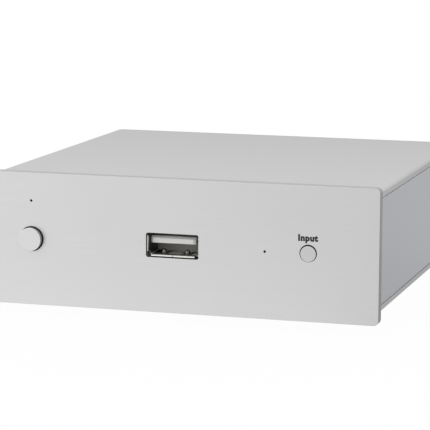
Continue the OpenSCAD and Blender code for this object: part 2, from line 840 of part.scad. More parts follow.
// Clear rod from a lamp to its pinhole, with a collar against the inner panel
module light_pipe(p) placed("#dfe7ea") {
    translate([p[0], 0, p[1]]) {
        rod(pipe_d, pipe_y0, pipe_y1);
        rod(pipe_collar_d, sub_y1, sub_y1 + pipe_collar_t);
    }
}

module power_light_pipe() {
    light_pipe(power_lamp);
}

module source_light_pipe() {
    light_pipe(source_lamp);
}

// Upright board behind the inner panel, notched over the USB socket
module control_board() placed(green) {
    difference() {
        box([-control_x, control_y0, control_z0], [control_x, control_y1, control_z1]);
        box([usb_x - usb_tab_w / 2 - usb_notch_gap, control_y0 - 1, control_z0 - 1],
            [usb_x + usb_tab_w / 2 + usb_notch_gap, control_y1 + 1, usb_z + usb_out_h / 2 + usb_notch_gap]);
        for (x = [-spacer_x, spacer_x], z = spacer_z) translate([x, 0, z])
            rod(small_screw_d + 2 * fit_gap, control_y0 - 1, control_y1 + 1);
    }
}

module control_board_spacers() placed(gold) {
    for (x = [-spacer_x, spacer_x], z = spacer_z) translate([x, 0, z]) difference() {
        rod(spacer_d, sub_y1, control_y0);
        rod(small_screw_d + 2 * fit_gap, sub_y1 - 1, control_y0 + 1);
    }
}

module control_board_screws() placed(steel) {
    for (x = [-spacer_x, spacer_x], z = spacer_z) translate([x, control_y1, z]) rotate([-90, 0, 0])
        pan_screw(small_screw_d, small_head_d, small_head_h, board_t + spacer_h + sub_panel_t - 0.1);
}

// Flat ribbon: back from the control board, round a bend and down to the main board
module control_ribbon() placed("#e9e9e4") {
    socket_top = board_z1 + ribbon_socket[1];
    along_x(ribbon_x - ribbon_w / 2, ribbon_x + ribbon_w / 2) {
        translate([ribbon_y0, ribbon_z - ribbon_t / 2]) square([ribbon_run + 0.01, ribbon_t]);
        translate([ribbon_drop_y - ribbon_t / 2, socket_top])
            square([ribbon_t, ribbon_z - ribbon_bend - socket_top + 0.01]);
        translate([ribbon_y0 + ribbon_run, ribbon_z - ribbon_bend]) intersection() {
            difference() {
                circle(ribbon_bend + ribbon_t / 2);
                circle(ribbon_bend - ribbon_t / 2);
            }
            square(2 * ribbon_bend);
        }
    }
}

module ribbon_sockets() placed("#e6e2d6") {
    w = ribbon_socket[0] / 2;
    box([ribbon_x - w, control_y1, ribbon_z - ribbon_socket[2] / 2],
        [ribbon_x + w, ribbon_y0, ribbon_z + ribbon_socket[2] / 2]);
    box([ribbon_x - w, ribbon_drop_y - ribbon_socket[2] / 2, board_z1],
        [ribbon_x + w, ribbon_drop_y + ribbon_socket[2] / 2, board_z1 + ribbon_socket[1]]);
}

// Section of a flared lip: depth along its first axis, height from the inner wall along its second
module lip_section(flare) {
    polygon([[usb_tube_y, 0], [usb_tube_y, usb_sheet], [usb_recess, usb_sheet + flare], [usb_recess, flare]]);
}

// Steel shell of the USB socket: a tube with flared lips and two sprung fingers in its floor
module usb_shell() placed(steel) {
    translate([usb_x, 0, usb_z]) {
        difference() {
            along_y(usb_tube_y, usb_depth) difference() {
                square([usb_out_w, usb_out_h], center = true);
                square([usb_open_w, usb_open_h], center = true);
            }
            for (x = [-finger_x, finger_x]) translate([x, finger_y, -usb_out_h / 2]) finger_slots();
        }
        for (side = [0, 1]) mirror([0, 0, side]) translate([0, 0, usb_open_h / 2])
            along_x(-usb_lip_w / 2, usb_lip_w / 2) lip_section(usb_flare_z);
        for (side = [0, 1]) mirror([side, 0, 0]) translate([usb_open_w / 2, 0, -usb_lip_h / 2])
            linear_extrude(height = usb_lip_h) mirror([1, -1]) lip_section(usb_flare_x);
        for (x = [-finger_x, finger_x]) translate([x, finger_y + 1, -usb_open_h / 2]) intersection() {
            translate([0, 0, bump_h - bump_r]) sphere(bump_r);
            translate([-finger_w / 2, -bump_r, -usb_sheet]) cube([finger_w, 2 * bump_r, 2 * bump_r]);
        }
    }
}

// Slots on both sides and at the free end of a finger
module finger_slots() {
    for (x = [-1, 1]) translate([x * (finger_w + finger_slot) / 2 - finger_slot / 2, 0, -1])
        cube([finger_slot, finger_len, 2 + usb_sheet / 2]);
    translate([-finger_w / 2 - finger_slot, -finger_slot, -1])
        cube([finger_w + 2 * finger_slot, finger_slot + 0.01, 2 + usb_sheet / 2]);
}

// Plastic core of the USB socket
module usb_tongue() placed("#e8e8e6") {
    half_w = usb_open_w / 2 - fit_gap;
    half_h = usb_open_h / 2 - fit_gap;
    box([usb_x - half_w, usb_depth - usb_base_len, usb_z - half_h],
        [usb_x + half_w, usb_depth, usb_z + half_h]);
    box([usb_x - tongue_w / 2, tongue_recess, tongue_z0],
        [usb_x + tongue_w / 2, usb_depth - usb_base_len + 0.1, tongue_z1]);
}

module usb_contacts() placed(gold) {
    for (x = usb_contact_x)
        box([usb_x + x - usb_contact_w / 2, tongue_recess + 1, tongue_z0 - usb_contact_t],
            [usb_x + x + usb_contact_w / 2, usb_depth - usb_base_len, tongue_z0]);
}

// Main board, with a tab under the USB socket
module main_board() placed(green) {
    box([-board_x, board_y0, board_z0], [board_x, board_y1, board_z1]);
    box([usb_x - usb_tab_w / 2, usb_tab_y0, board_z0], [usb_x + usb_tab_w / 2, board_y0 + 0.1, board_z1]);
}

module network_module() placed("#173f5c") {
    box([module_x - module_w / 2, module_y - module_d / 2, module_z0],
        [module_x + module_w / 2, module_y + module_d / 2, module_z1]);
}

// Shield can: five thin walls over the radio
module module_shield() placed(steel) {
    translate([module_x, module_y - 4, module_z1 + shield[2] / 2]) difference() {
        cube(shield, center = true);
        translate([0, 0, -shield_sheet]) cube(shield - 2 * [shield_sheet, shield_sheet, 0], center = true);
    }
}

module module_headers() placed(black) {
    for (y = [-1, 1])
        translate([module_x, module_y + y * (module_d / 2 - header_d), board_z1 + header_h / 2])
            cube([header_w, header_d, header_h], center = true);
}

module capacitors() placed("#2b2d33") {
    for (i = [0:2], j = [0:1])
        translate([cap_x + i * cap_pitch, cap_y + j * cap_pitch, board_z1]) cylinder(d = cap_d, h = cap_h);
}

// Chips: each lies flat on the board, given by its size and the middle of its rear edge
module chip(size, x, y) {
    translate([x - size[0] / 2, y - size[1], board_z1]) cube(size);
}

module chips() placed(black) {
    chip(processor, module_x, module_y + processor[1] / 2);
    chip(converter, cap_x, chip_y);
    for (i = [0, 1]) chip(amplifier, cap_x + cap_pitch, chip_y - i * amplifier_pitch);
    chip(inductor, cap_x + 2 * cap_pitch, chip_y);
    chip(regulator, cap_x + 2 * cap_pitch, chip_y - inductor[1] - chip_gap);
}

// Housing of the two line out sockets, with a collar through the rear panel for each
module line_out_housing() placed(black) {
    difference() {
        union() {
            box([line_xs[0] - line_side, rear_y0 - line_housing_d, board_z1],
                [line_xs[1] + line_side, rear_y0, line_z + line_top]);
            for (x = line_xs) translate([x, 0, line_z]) rod(line_collar_d, rear_y0 - 0.1, nose_y);
        }
        for (x = line_xs) translate([x, 0, line_z]) rod(line_shank_d + 2 * fit_gap, line_y0, nose_y + 1);
    }
}

// Plated sleeve: a narrower shank in the housing, then the outer barrel
module line_out_sleeve(x) placed(steel) {
    translate([x, 0, line_z]) difference() {
        union() {
            rod(line_shank_d, line_y0, nose_y + 0.1);
            rod(line_d, nose_y, back_end);
        }
        rod(line_d - 2 * line_wall, line_y0 - 1, back_end + 1);
    }
}

// Coloured insert inside a sleeve, bored for the centre contact
module line_out_insert(x, paint) placed(paint) {
    translate([x, 0, line_z]) difference() {
        rod(line_insert_d, line_y0, back_end - line_insert_back);
        rod(line_contact_d + 2 * fit_gap, line_y0 + 1, back_end + 1);
    }
}

module line_out_sleeve_left() {
    line_out_sleeve(line_xs[0]);
}

module line_out_sleeve_right() {
    line_out_sleeve(line_xs[1]);
}

module line_out_insert_left() {
    line_out_insert(line_xs[0], "#ecebe6");
}

module line_out_insert_right() {
    line_out_insert(line_xs[1], "#b3202a");
}

module line_out_contacts() placed(gold) {
    for (x = line_xs) translate([x, 0, line_z]) difference() {
        rod(line_contact_d, line_y0 + 1, back_end - line_insert_back - 0.2);
        rod(line_bore, line_y0 + 2, back_end + 1);
    }
}

// Optical socket: a block with a square mouth and a roof pocket that takes the open shutter
module optical_jack() placed(black) {
    half = optical_mouth / 2;
    difference() {
        box([optical_x - optical_w / 2, optical_y0, board_z1],
            [optical_x + optical_w / 2, nose_y, board_z1 + optical_h]);
        box([optical_x - half, nose_y - optical_cavity, optical_z - half],
            [optical_x + half, nose_y + 1, optical_z + half]);
        box([optical_x - half, hinge_y - shutter_len - 0.5, optical_z],
            [optical_x + half, hinge_y + hinge_room, hinge_z + hinge_room]);
        translate([optical_x, hinge_y, hinge_z]) rotate([0, 90, 0])
            cylinder(r = shutter_pin_r + shutter_pin_gap, h = 2 * (hinge_half + 0.15), center = true);
    }
}

// Shutter: a flap that hangs from a pin across the top of the mouth
module optical_shutter() placed("#2a2b2e") {
    half_w = optical_mouth / 2 - shutter_gap;
    translate([optical_x, hinge_y, hinge_z]) {
        rotate([0, 90, 0]) cylinder(r = shutter_pin_r, h = 2 * hinge_half, center = true);
        box([-half_w, -shutter_t / 2, -shutter_len], [half_w, shutter_t / 2, 0]);
    }
}

// Network jack: a steel can, open at the mouth
module lan_shell() placed(steel) {
    difference() {
        box([lan_x - lan_w / 2, lan_y0, lan_z0], [lan_x + lan_w / 2, nose_y, lan_z0 + lan_h]);
        box([lan_x - lan_w / 2 + lan_sheet, lan_y0 + lan_sheet, lan_z0 + lan_sheet],
            [lan_x + lan_w / 2 - lan_sheet, nose_y + 1, lan_z0 + lan_h - lan_sheet]);
    }
}

// Plastic core of the network jack, hollow for the plug, its latch and two lamps
module lan_insert() placed(black) {
    half_w = lan_w / 2 - lan_sheet - fit_gap;
    difference() {
        box([lan_x - half_w, lan_y0 + lan_sheet, lan_z0 + lan_sheet + fit_gap],
            [lan_x + half_w, nose_y - lan_face, lan_z0 + lan_h - lan_sheet - fit_gap]);
        box([lan_x - lan_plug_w / 2, nose_y - lan_plug_d, lan_plug_z],
            [lan_x + lan_plug_w / 2, nose_y + 1, lan_plug_z + lan_plug_h]);
        box([lan_x - lan_latch_w / 2, nose_y - lan_plug_d, lan_plug_z - lan_latch_h],
            [lan_x + lan_latch_w / 2, nose_y + 1, lan_plug_z + 0.1]);
        for (x = [-lan_lamp_x, lan_lamp_x]) translate([lan_x + x, nose_y - lan_lamp[1] / 2, lan_lamp_z])
            cube(lan_lamp + 2 * [fit_gap, lan_face, fit_gap], center = true);
    }
}

// Eight sprung wires that slope down and back from the roof of the network jack
module lan_contacts() placed(gold) {
    roof = lan_plug_z + lan_plug_h;
    mouth = nose_y - lan_face - lan_wire_back;
    tip = [mouth - lan_wire_len, roof - lan_wire_drop];
    for (i = [0:7]) translate([lan_x + (i - 3.5) * lan_pitch - lan_wire / 2, 0, 0])
        along_x(0, lan_wire)
            polygon([[mouth, roof], [mouth - lan_wire_root, roof], tip + [0, lan_wire], tip, tip + [lan_wire, 0]]);
}

module lan_lamps() placed("#cfd7b0") {
    for (x = [-lan_lamp_x, lan_lamp_x])
        translate([lan_x + x, nose_y - lan_face - lan_lamp[1] / 2, lan_lamp_z]) cube(lan_lamp, center = true);
}

// Power inlet: a block with a round collar and a bore
module power_inlet() placed(black) {
    difference() {
        union() {
            box([inlet_x - inlet_w / 2, inlet_y0, board_z1],
                [inlet_x + inlet_w / 2, rear_y0, board_z1 + inlet_h]);
            translate([inlet_x, 0, inlet_z]) rod(inlet_collar_d, rear_y0 - 0.1, nose_y);
        }
        translate([inlet_x, 0, inlet_z]) rod(inlet_bore, inlet_y0 + inlet_floor, nose_y + 1);
    }
}

module power_inlet_pin() placed(steel) {
    tip = nose_y - inlet_pin_back - inlet_pin_d / 2;
    translate([inlet_x, 0, inlet_z]) {
        rod(inlet_pin_d, inlet_y0 + inlet_floor, tip);
        translate([0, tip, 0]) sphere(d = inlet_pin_d);
    }
}

// Antenna socket: a flange inside the panel, a neck through it and a threaded barrel outside
module antenna_socket() placed(gold) {
    thread_y0 = rear_y1 + washer_h + antenna_nut_h;
    translate([antenna_x, 0, antenna_z]) {
        difference() {
            union() {
                rod(antenna_tail_d, lead_y1, rear_y0);
                hex_rod(antenna_af, rear_y0 - antenna_flange_h, rear_y0);
                rod(antenna_neck_d, rear_y0 - 0.1, thread_y0 + 0.1);
                rod(antenna_d, thread_y0, back_end);
            }
            rod(antenna_mouth_d, back_end - antenna_mouth_h, back_end + 1);
        }
        rod(antenna_pin_d, back_end - antenna_mouth_h - 0.1, back_end - 1);
    }
}

// Nut and washer that hold the antenna socket in the rear panel
module antenna_nut() placed(gold) {
    translate([antenna_x, 0, antenna_z]) difference() {
        union() {
            rod(washer_d, rear_y1, rear_y1 + washer_h);
            hex_rod(antenna_af, rear_y1 + washer_h - 0.01, rear_y1 + washer_h + antenna_nut_h);
        }
        rod(antenna_neck_d + 2 * fit_gap, rear_y1 - 1, rear_y1 + washer_h + antenna_nut_h + 1);
    }
}

// Thin lead: forward from the antenna socket, round a bend and down to the network module
module antenna_lead() placed("#1a1a1a") {
    plug_top = module_z1 + lead_plug[1];
    bend_y = lead_drop_y + lead_bend;
    translate([antenna_x, 0, antenna_z]) rod(lead_d, bend_y, lead_y1);
    translate([antenna_x, lead_drop_y, 0]) {
        translate([0, 0, plug_top - 0.1])
            cylinder(d = lead_d, h = antenna_z - lead_bend - plug_top + 0.1);
        translate([0, 0, module_z1]) cylinder(d = lead_plug[0], h = lead_plug[1]);
    }
    translate([antenna_x, bend_y, antenna_z - lead_bend]) rotate([90, 0, -90])
        rotate_extrude(angle = 90) translate([lead_bend, 0]) circle(d = lead_d);
}

front_plate();
front_sub_panel();
top_cover();
bottom_cover();
left_side_rail();
right_side_rail();
rear_panel();
foot_front_left();
foot_front_right();
foot_rear_left();
foot_rear_right();
foot_screws();
front_plate_studs();
front_plate_nuts();
sub_panel_screws();
rear_panel_screws();
power_button_cap();
power_button_pusher();
power_switch_body();
power_switch_plunger();
source_button_cap();
source_button_pusher();
source_switch_body();
source_switch_plunger();
power_lamp_chip();
source_lamp_chip();
power_light_pipe();
source_light_pipe();
control_board();
control_board_spacers();
control_board_screws();
control_ribbon();
ribbon_sockets();
usb_shell();
usb_tongue();
usb_contacts();
main_board();
network_module();
module_shield();
module_headers();
capacitors();
chips();
line_out_housing();
line_out_sleeve_left();
line_out_sleeve_right();
line_out_insert_left();
line_out_insert_right();
line_out_contacts();
optical_jack();
optical_shutter();
lan_shell();
lan_insert();
lan_contacts();
lan_lamps();
power_inlet();
power_inlet_pin();
antenna_socket();
antenna_nut();
antenna_lead();
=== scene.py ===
"""Compact silver network music streamer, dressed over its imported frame.

Metres, +Z up, the front plate faces -Y and +X is to the right of a viewer in front of it.
Sizes in this file are millimetres until add_piece or legend puts them into a mesh.
"""
import json
import math

import bmesh
import bpy
import numpy as np
from mathutils import Matrix, Vector, geometry


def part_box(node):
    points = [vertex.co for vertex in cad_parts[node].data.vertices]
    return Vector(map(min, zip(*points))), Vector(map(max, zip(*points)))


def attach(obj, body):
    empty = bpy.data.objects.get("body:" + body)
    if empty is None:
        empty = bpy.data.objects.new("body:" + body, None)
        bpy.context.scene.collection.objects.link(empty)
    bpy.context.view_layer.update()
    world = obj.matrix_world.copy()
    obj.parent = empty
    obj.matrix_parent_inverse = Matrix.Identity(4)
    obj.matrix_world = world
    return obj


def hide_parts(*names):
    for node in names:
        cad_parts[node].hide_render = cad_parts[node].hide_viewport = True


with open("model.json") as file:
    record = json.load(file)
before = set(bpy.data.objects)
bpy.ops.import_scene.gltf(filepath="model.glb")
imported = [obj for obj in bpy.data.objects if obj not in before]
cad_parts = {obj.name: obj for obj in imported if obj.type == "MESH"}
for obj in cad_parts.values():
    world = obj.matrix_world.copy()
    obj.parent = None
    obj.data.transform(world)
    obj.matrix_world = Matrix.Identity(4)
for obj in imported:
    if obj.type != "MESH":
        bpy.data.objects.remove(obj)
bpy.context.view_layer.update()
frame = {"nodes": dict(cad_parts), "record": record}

MM = 0.001


def box_mm(node):
    """A node's lowest and highest corners."""
    low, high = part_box(node)
    return np.array(low) / MM, np.array(high) / MM


def middle(node):
    """Middle of a node's box."""
    return sum(box_mm(node)) / 2


def extent(node):
    """Width, depth and height of a node's box."""
    low, high = box_mm(node)
    return high - low


# Outlines, each an array of points in a plane

def rectangle(width, height, radius, centre=(0, 0), steps=9):
    """Rounded rectangle: quarter circles about the four inset corners."""
    turn = np.radians(np.concatenate([np.linspace(q, q + 90, steps) for q in (0, 90, 180, 270)]))
    corner = np.repeat([(1, 1), (-1, 1), (-1, -1), (1, -1)], steps, axis=0)
    inset = np.array([width / 2 - radius, height / 2 - radius])
    return np.array(centre) + corner * inset + radius * np.column_stack([np.cos(turn), np.sin(turn)])


def circle(diameter, centre=(0, 0), steps=72):
    """Circle: the radius at even turns round the centre."""
    turn = np.linspace(0, 2 * math.pi, steps, endpoint=False)
    return np.array(centre) + diameter / 2 * np.column_stack([np.cos(turn), np.sin(turn)])


def quarter(r0, d0, r1, d1, steps=6):
    """Quarter ellipse between two profile points, leaving the first along its radius."""
    t = np.radians(np.linspace(0, 90, steps))
    return np.column_stack([r0 + (r1 - r0) * np.sin(t), d0 + (d1 - d0) * (1 - np.cos(t))])


# Surfaces, each an array of points and a list of faces

# Flat band beside a rounded edge, least cosine in a mitre, radius of a turned form's end on its axis,
# and the angle in degrees from which an edge is sharp
BAND = 0.12
MITRE_LEAST = 0.3
POLE = 0.02
SHARP_ANGLE = 38


def ring_quads(rows, columns, closed=False):
    """Quads of a grid whose columns close into rings, and whose rows close too if asked."""
    r, c = np.meshgrid(np.arange(rows if closed else rows - 1), np.arange(columns), indexing="ij")
    down, right = (r + 1) % rows, (c + 1) % columns
    quads = np.stack([r * columns + c, r * columns + right, down * columns + right, down * columns + c], -1)
    return quads.reshape(-1, 4)


def outward(points, faces):
    """Turns every face round if the volume inside, summed over tetrahedra, comes out negative."""
    corners = np.array([(f[0], f[i], f[i + 1]) for f in faces for i in range(1, len(f) - 1)])
    a, b, c = points[corners].transpose(1, 0, 2)
    return points, [f[::-1] for f in faces] if (a * np.cross(b, c)).sum() < 0 else faces


def edge_profile(depth, front, back, steps=6, support=BAND):
    """Inset and depth down a plate's edge: flat, a quarter circle, the wall, a quarter circle, flat."""
    turn = np.radians(np.linspace(0, 90, steps))
    into = np.column_stack([front * (1 - np.sin(turn)), front * (1 - np.cos(turn))])
    out = np.column_stack([back * (1 - np.cos(turn)), depth - back * (1 - np.sin(turn))])
    return np.vstack([[(front + support, 0)], into, out, [(back + support, depth)]])


def plate(start, end, rim, holes=(), edges=(0.1, 0.1), hole_edges=None, along="y", support=BAND):
    """Outline carried along an axis: a profile runs round the rim and each hole, and both ends are filled.

    A ring of it is the outline moved along its normals by the inset: in for the rim, out for a hole.
    A hole is its outline, or its outline with a profile of its own.
    """
    depth = end - start
    loops = [(rim, edge_profile(depth, *edges, support=support), 1)]
    for hole in holes:
        own = isinstance(hole, tuple)
        usual = edge_profile(depth, *(hole_edges or edges), support=support)
        loops.append((hole[0] if own else hole, hole[1] if own else usual, -1))
    points, faces, ends, count = [], [], ([], []), 0
    for outline, profile, side in loops:
        ahead = np.roll(outline, -1, 0)
        if (outline[:, 0] * ahead[:, 1] - outline[:, 1] * ahead[:, 0]).sum() < 0:
            outline = outline[::-1]
        step = np.roll(outline, -1, 0) - outline
        normal = np.column_stack([step[:, 1], -step[:, 0]])
        normal /= np.linalg.norm(normal, axis=1, keepdims=True)
        both = normal + np.roll(normal, 1, 0)
        both /= np.linalg.norm(both, axis=1, keepdims=True)
        mitre = both / np.clip((both * normal).sum(1, keepdims=True), MITRE_LEAST, 1)
        ring = outline - side * profile[:, None, :1] * mitre
        level = np.broadcast_to(start + profile[:, None, 1:], ring.shape[:2] + (1,))
        rows, columns = ring.shape[:2]
        points.append(np.concatenate([ring, level], 2).reshape(-1, 3))
        faces += (ring_quads(rows, columns)[:, ::side] + count).tolist()
        ends[0].append(count + np.arange(columns))
        ends[1].append(count + (rows - 1) * columns + np.arange(columns))
        count += rows * columns
    points = np.concatenate(points)
    for loop, turn in zip(ends, (-1, 1)):
        index = np.concatenate(loop)
        flat = [[Vector((*points[i][:2], 0)) for i in one] for one in loop]
        for corners in geometry.tessellate_polygon(flat):
            a, b, c = points[index[list(corners)]][:, :2]
            up = (b[0] - a[0]) * (c[1] - a[1]) - (b[1] - a[1]) * (c[0] - a[0])
            faces.append(index[list(corners)].tolist()[::int(np.sign(up)) * turn or 1])
    order = {"x": (2, 0, 1), "y": (0, 2, 1), "z": (0, 1, 2)}[along]
    return outward(points[:, order], faces)


def lathe(radius, depth, centre, along="y", closed=False, steps=96):
    """Turned form: radius and depth along a profile, or over profile and turn, swept round an axis."""
    radius, depth = (np.asarray(a, float) for a in (radius, depth))
    radius, depth = (a[:, None] if a.ndim == 1 else a for a in (radius, depth))
    turn = np.linspace(0, 2 * math.pi, steps, endpoint=False)
    u, v = radius * np.cos(turn), radius * np.sin(turn)
    w = np.broadcast_to(depth, u.shape)
    points = np.stack({"y": (u, w, v), "z": (u, v, w)}[along], -1).reshape(-1, 3) + np.asarray(centre)
    faces = ring_quads(len(radius), steps, closed).tolist()
    if not closed:
        faces.append(list(range(steps))[::-1])
        faces.append(list(range((len(radius) - 1) * steps, len(radius) * steps)))
    return outward(points, faces)


def joined(*forms):
    """Several forms as one list of points and faces."""
    points, faces, count = [], [], 0
    for p, f in forms:
        points.append(p)
        faces += [[i + count for i in face] for face in f]
        count += len(p)
    return np.concatenate(points), faces


def add_piece(name, form, material, body="case", replaces=()):
    """Puts a form into a mesh piece that rides on a body, smooth but for its real corners."""
    points, faces = form
    mesh = bpy.data.meshes.new(name)
    mesh.from_pydata(points * MM, [], faces)
    mesh.materials.append(material)
    mesh.shade_smooth()
    mesh.set_sharp_from_angle(angle=math.radians(SHARP_ANGLE))
    piece = bpy.data.objects.new(name, mesh)
    bpy.context.scene.collection.objects.link(piece)
    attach(piece, body)
    if replaces:
        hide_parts(*replaces)
    return piece


# Shader nodes

def linear(hex_colour):
    """sRGB hex colour as linear red, green, blue and alpha."""
    c = np.array([int(hex_colour[i:i + 2], 16) for i in (1, 3, 5)]) / 255
    c = np.where(c <= 0.04045, c / 12.92, ((c + 0.055) / 1.055) ** 2.4)
    return (*c.tolist(), 1.0)


def add_node(tree, kind, inputs=None, **settings):
    """One shader node: settings by attribute, inputs by name or number as values or links from sockets."""
    made = tree.nodes.new(kind)
    for key, value in settings.items():
        setattr(made, key, value)
    for key, value in (inputs or {}).items():
        if isinstance(value, bpy.types.NodeSocket):
            tree.links.new(value, made.inputs[key])
        else:
            made.inputs[key].default_value = value
    return made


def maths(tree, operation, a, b):
    """Socket that gives a sum, product or the like of two sockets."""
    return add_node(tree, "ShaderNodeMath", {0: a, 1: b}, operation=operation).outputs[0]


def ramp(tree, value, start, end, first, last):
    """Socket that runs from first to last while the value runs from start to end."""
    limits = {"From Min": start, "From Max": end, "To Min": first, "To Max": last}
    return add_node(tree, "ShaderNodeMapRange", {"Value": value, **limits}).outputs[0]


def mix_colours(tree, share, a, b, blend="MIX"):
    """Socket that mixes two colours; a mix node has them at its inputs 6 and 7 and its output 2."""
    mixer = add_node(tree, "ShaderNodeMix", {0: share, 6: a, 7: b}, data_type="RGBA", blend_type=blend)
    return mixer.outputs[2]


def new_material(name):
    """Empty node material: gives it, its tree and its output node."""
    material = bpy.data.materials.new(name)
    material.use_nodes = True
    tree = material.node_tree
    tree.nodes.clear()
    return material, tree, add_node(tree, "ShaderNodeOutputMaterial")


# Materials

# Broad unevenness under every grain: its size and its share
BROAD_SIZE = 25
BROAD_SHARE = 0.25
RELIEF_STRENGTH = 0.6
# Front and rear ends of the case along Y, in metres
CASE_ENDS = (-0.05, 0.05)


def grained(name, colour, roughness, grain, metallic=0.0, contrast=0.05, spread=0.05, bump=0.002, painted_fade=0.0,
            **fixed):
    """Surface with a fine grain over a broad faint unevenness.

    Grain is the size of its marks along X, Y and Z; it drives colour, roughness and bump height.
    The fade is painted shade: the share of tone that the surface loses from the front of the case to its
    rear.
    """
    material, tree, out = new_material(name)
    place = add_node(tree, "ShaderNodeTexCoord").outputs["Object"]
    marks = add_node(tree, "ShaderNodeMapping", {"Vector": place, "Scale": [1 / (g * MM) for g in grain]})
    fine = add_node(tree, "ShaderNodeTexNoise", {"Vector": marks.outputs[0], "Scale": 1.0, "Detail": 3.0})
    broad = add_node(tree, "ShaderNodeTexNoise", {
        "Vector": place, "Scale": 1 / (BROAD_SIZE * MM), "Detail": 1.0})
    level = add_node(tree, "ShaderNodeMix", {
        0: BROAD_SHARE, 2: fine.outputs["Fac"], 3: broad.outputs["Fac"]}).outputs[0]
    dark = [c * (1 - contrast) for c in linear(colour)[:3]] + [1]
    pale = [min(1, c * (1 + contrast)) for c in linear(colour)[:3]] + [1]
    tint = mix_colours(tree, level, dark, pale)
    # Painted shade: the tone falls from the front of the case to its rear
    if painted_fade:
        depth = add_node(tree, "ShaderNodeSeparateXYZ", {0: place}).outputs["Y"]
        front_to_rear_shade = ramp(tree, depth, *CASE_ENDS, 1 + painted_fade / 2, 1 - painted_fade / 2)
        tint = mix_colours(tree, 1.0, tint, front_to_rear_shade, "MULTIPLY")
    relief = add_node(tree, "ShaderNodeBump", {
        "Height": fine.outputs["Fac"], "Distance": bump * MM, "Strength": RELIEF_STRENGTH})
    rough = ramp(tree, level, 0.0, 1.0, roughness - spread, roughness + spread)
    surface = add_node(tree, "ShaderNodeBsdfPrincipled", {
        "Base Color": tint, "Roughness": rough, "Normal": relief.outputs[0], "Metallic": metallic, **fixed})
    tree.links.new(surface.outputs[0], out.inputs["Surface"])
    return material


# Clear anodised aluminium, brushed along X: long hairlines, drawn coarser than the real 0.05 mm to show
brushed = grained("brushed_aluminium", "#D8D8D8", 0.36, (18, 18, 0.22), metallic=1.0, spread=0.04)
# Long edges of the front plate, as drawn: a little duller than its brushed face, partly as painted shade on
# the top and bottom rims
drawn_edge_and_shade = grained("drawn_aluminium_edge_painted_shade", "#ADADAE", 0.4, (6, 0.3, 0.3),
                metallic=1.0, spread=0.04, bump=0.001, **{"Specular Tint": (0.97, 0.97, 0.97, 1)})
# Short ends of the front plate, milled: smoother, with faint cutter lines, and darker as painted shade on
# the ends that face sideways
milled_end_and_shade = grained("milled_aluminium_end_painted_shade", "#AFAFB0", 0.26, (6, 0.25, 4),
                 metallic=1.0, contrast=0.06, spread=0.04, bump=0.001,
                 **{"Specular Tint": (0.7, 0.7, 0.7, 1)})
# Turned aluminium of the large button cap: an even face as bright as the plate
turned = grained("turned_aluminium", "#DADADA", 0.38, (0.25, 0.25, 0.25),
                 metallic=1.0, contrast=0.03, spread=0.03, bump=0.001)
# Turned side of both button caps: darker than their faces as painted shade, with fine tool marks round the
# axis
shaded_turned_side = grained("turned_aluminium_side_painted_shade", "#A2A2A3", 0.34, (0.4, 0.12, 0.4),
                      metallic=1.0, contrast=0.06, spread=0.04, bump=0.001)
# Blasted aluminium of the small button cap: an even face, a shade duller than the plate and the large cap,
# partly as painted shade
shaded_blasted = grained("blasted_aluminium_painted_shade", "#D0D0D0", 0.38, (0.2, 0.2, 0.2),
                  metallic=1.0, contrast=0.03, spread=0.03, bump=0.001)
# Anodised sheet of the covers: a fine even satin grain left by blasting, and painted shade that makes it a
# little darker to the rear
satin = grained("satin_anodised_sheet", "#BBBBBC", 0.42, (0.5, 0.25, 0.25),
                metallic=1.0, contrast=0.04, spread=0.04, painted_fade=0.16)
# Anodised extrusion of the side rails: a little cooler, with faint die lines along Y
extruded = grained("satin_anodised_extrusion", "#BFC1C6", 0.42, (0.3, 20, 0.3),
                   metallic=1.0, contrast=0.04, spread=0.04)
# Black anodised sheet: deep grey with a soft sheen
black_sheet = grained("black_anodised_sheet", "#1C1D1F", 0.44, (0.25, 0.25, 0.25),
                      metallic=0.5, contrast=0.15, bump=0.003)
# Zinc plated steel: pale, slightly blue, cloudy sheen
zinc = grained("zinc_plated_steel", "#B7BBC0", 0.34, (0.4, 0.4, 0.4),
               metallic=1.0, contrast=0.08, spread=0.06)
# Nickel plated steel: warm grey and smooth
nickel = grained("nickel_plated_steel", "#B8B7B4", 0.3, (0.6, 2, 0.6),
                 metallic=1.0, contrast=0.06, bump=0.001)
# Satin nickel of the socket's sprung lips: spreads the light that it mirrors, and paler than the rest of the
# shell as painted light
lit_satin_nickel = grained("satin_nickel_painted_light", "#D4D3D0", 0.5, (0.6, 2, 0.6),
                       metallic=1.0, contrast=0.06, spread=0.04, bump=0.001)
# Nickel inside the socket: darker as painted shade of the recess, with a soft sheen
shaded_nickel = grained("dull_nickel_painted_shade", "#6A6966", 0.36, (0.6, 2, 0.6),
                      metallic=1.0, contrast=0.06, bump=0.001)
# Matt tin plate inside the socket: a dull grey that scatters what light gets in
tin = grained("matt_tin_plate", "#BAB9B5", 0.5, (0.4, 1.5, 0.4), metallic=0.5, contrast=0.06)
# Spring steel of the contact dimples: dark as painted shade deep in the socket, with a small bright middle
shaded_spring_steel = grained("spring_steel_painted_shade", "#646360", 0.25, (0.6, 0.6, 0.6),
                       metallic=1.0, contrast=0.06, spread=0.04, bump=0.001)
# Gold flash over nickel: yellow metal with soft reflections
gold = grained("gold_plated_contact", "#D9B25E", 0.24, (0.5, 0.5, 0.5),
               metallic=1.0, contrast=0.06, bump=0.001)
# Turned brass: deeper yellow with fine tool marks
brass = grained("turned_brass", "#B08A45", 0.32, (0.2, 0.2, 0.2), metallic=1.0, contrast=0.08)
# Black moulded plastic with a fine spark-eroded texture
black_plastic = grained("black_moulded_plastic", "#18191A", 0.48, (0.3, 0.3, 0.3),
                        contrast=0.2, spread=0.08, bump=0.004)
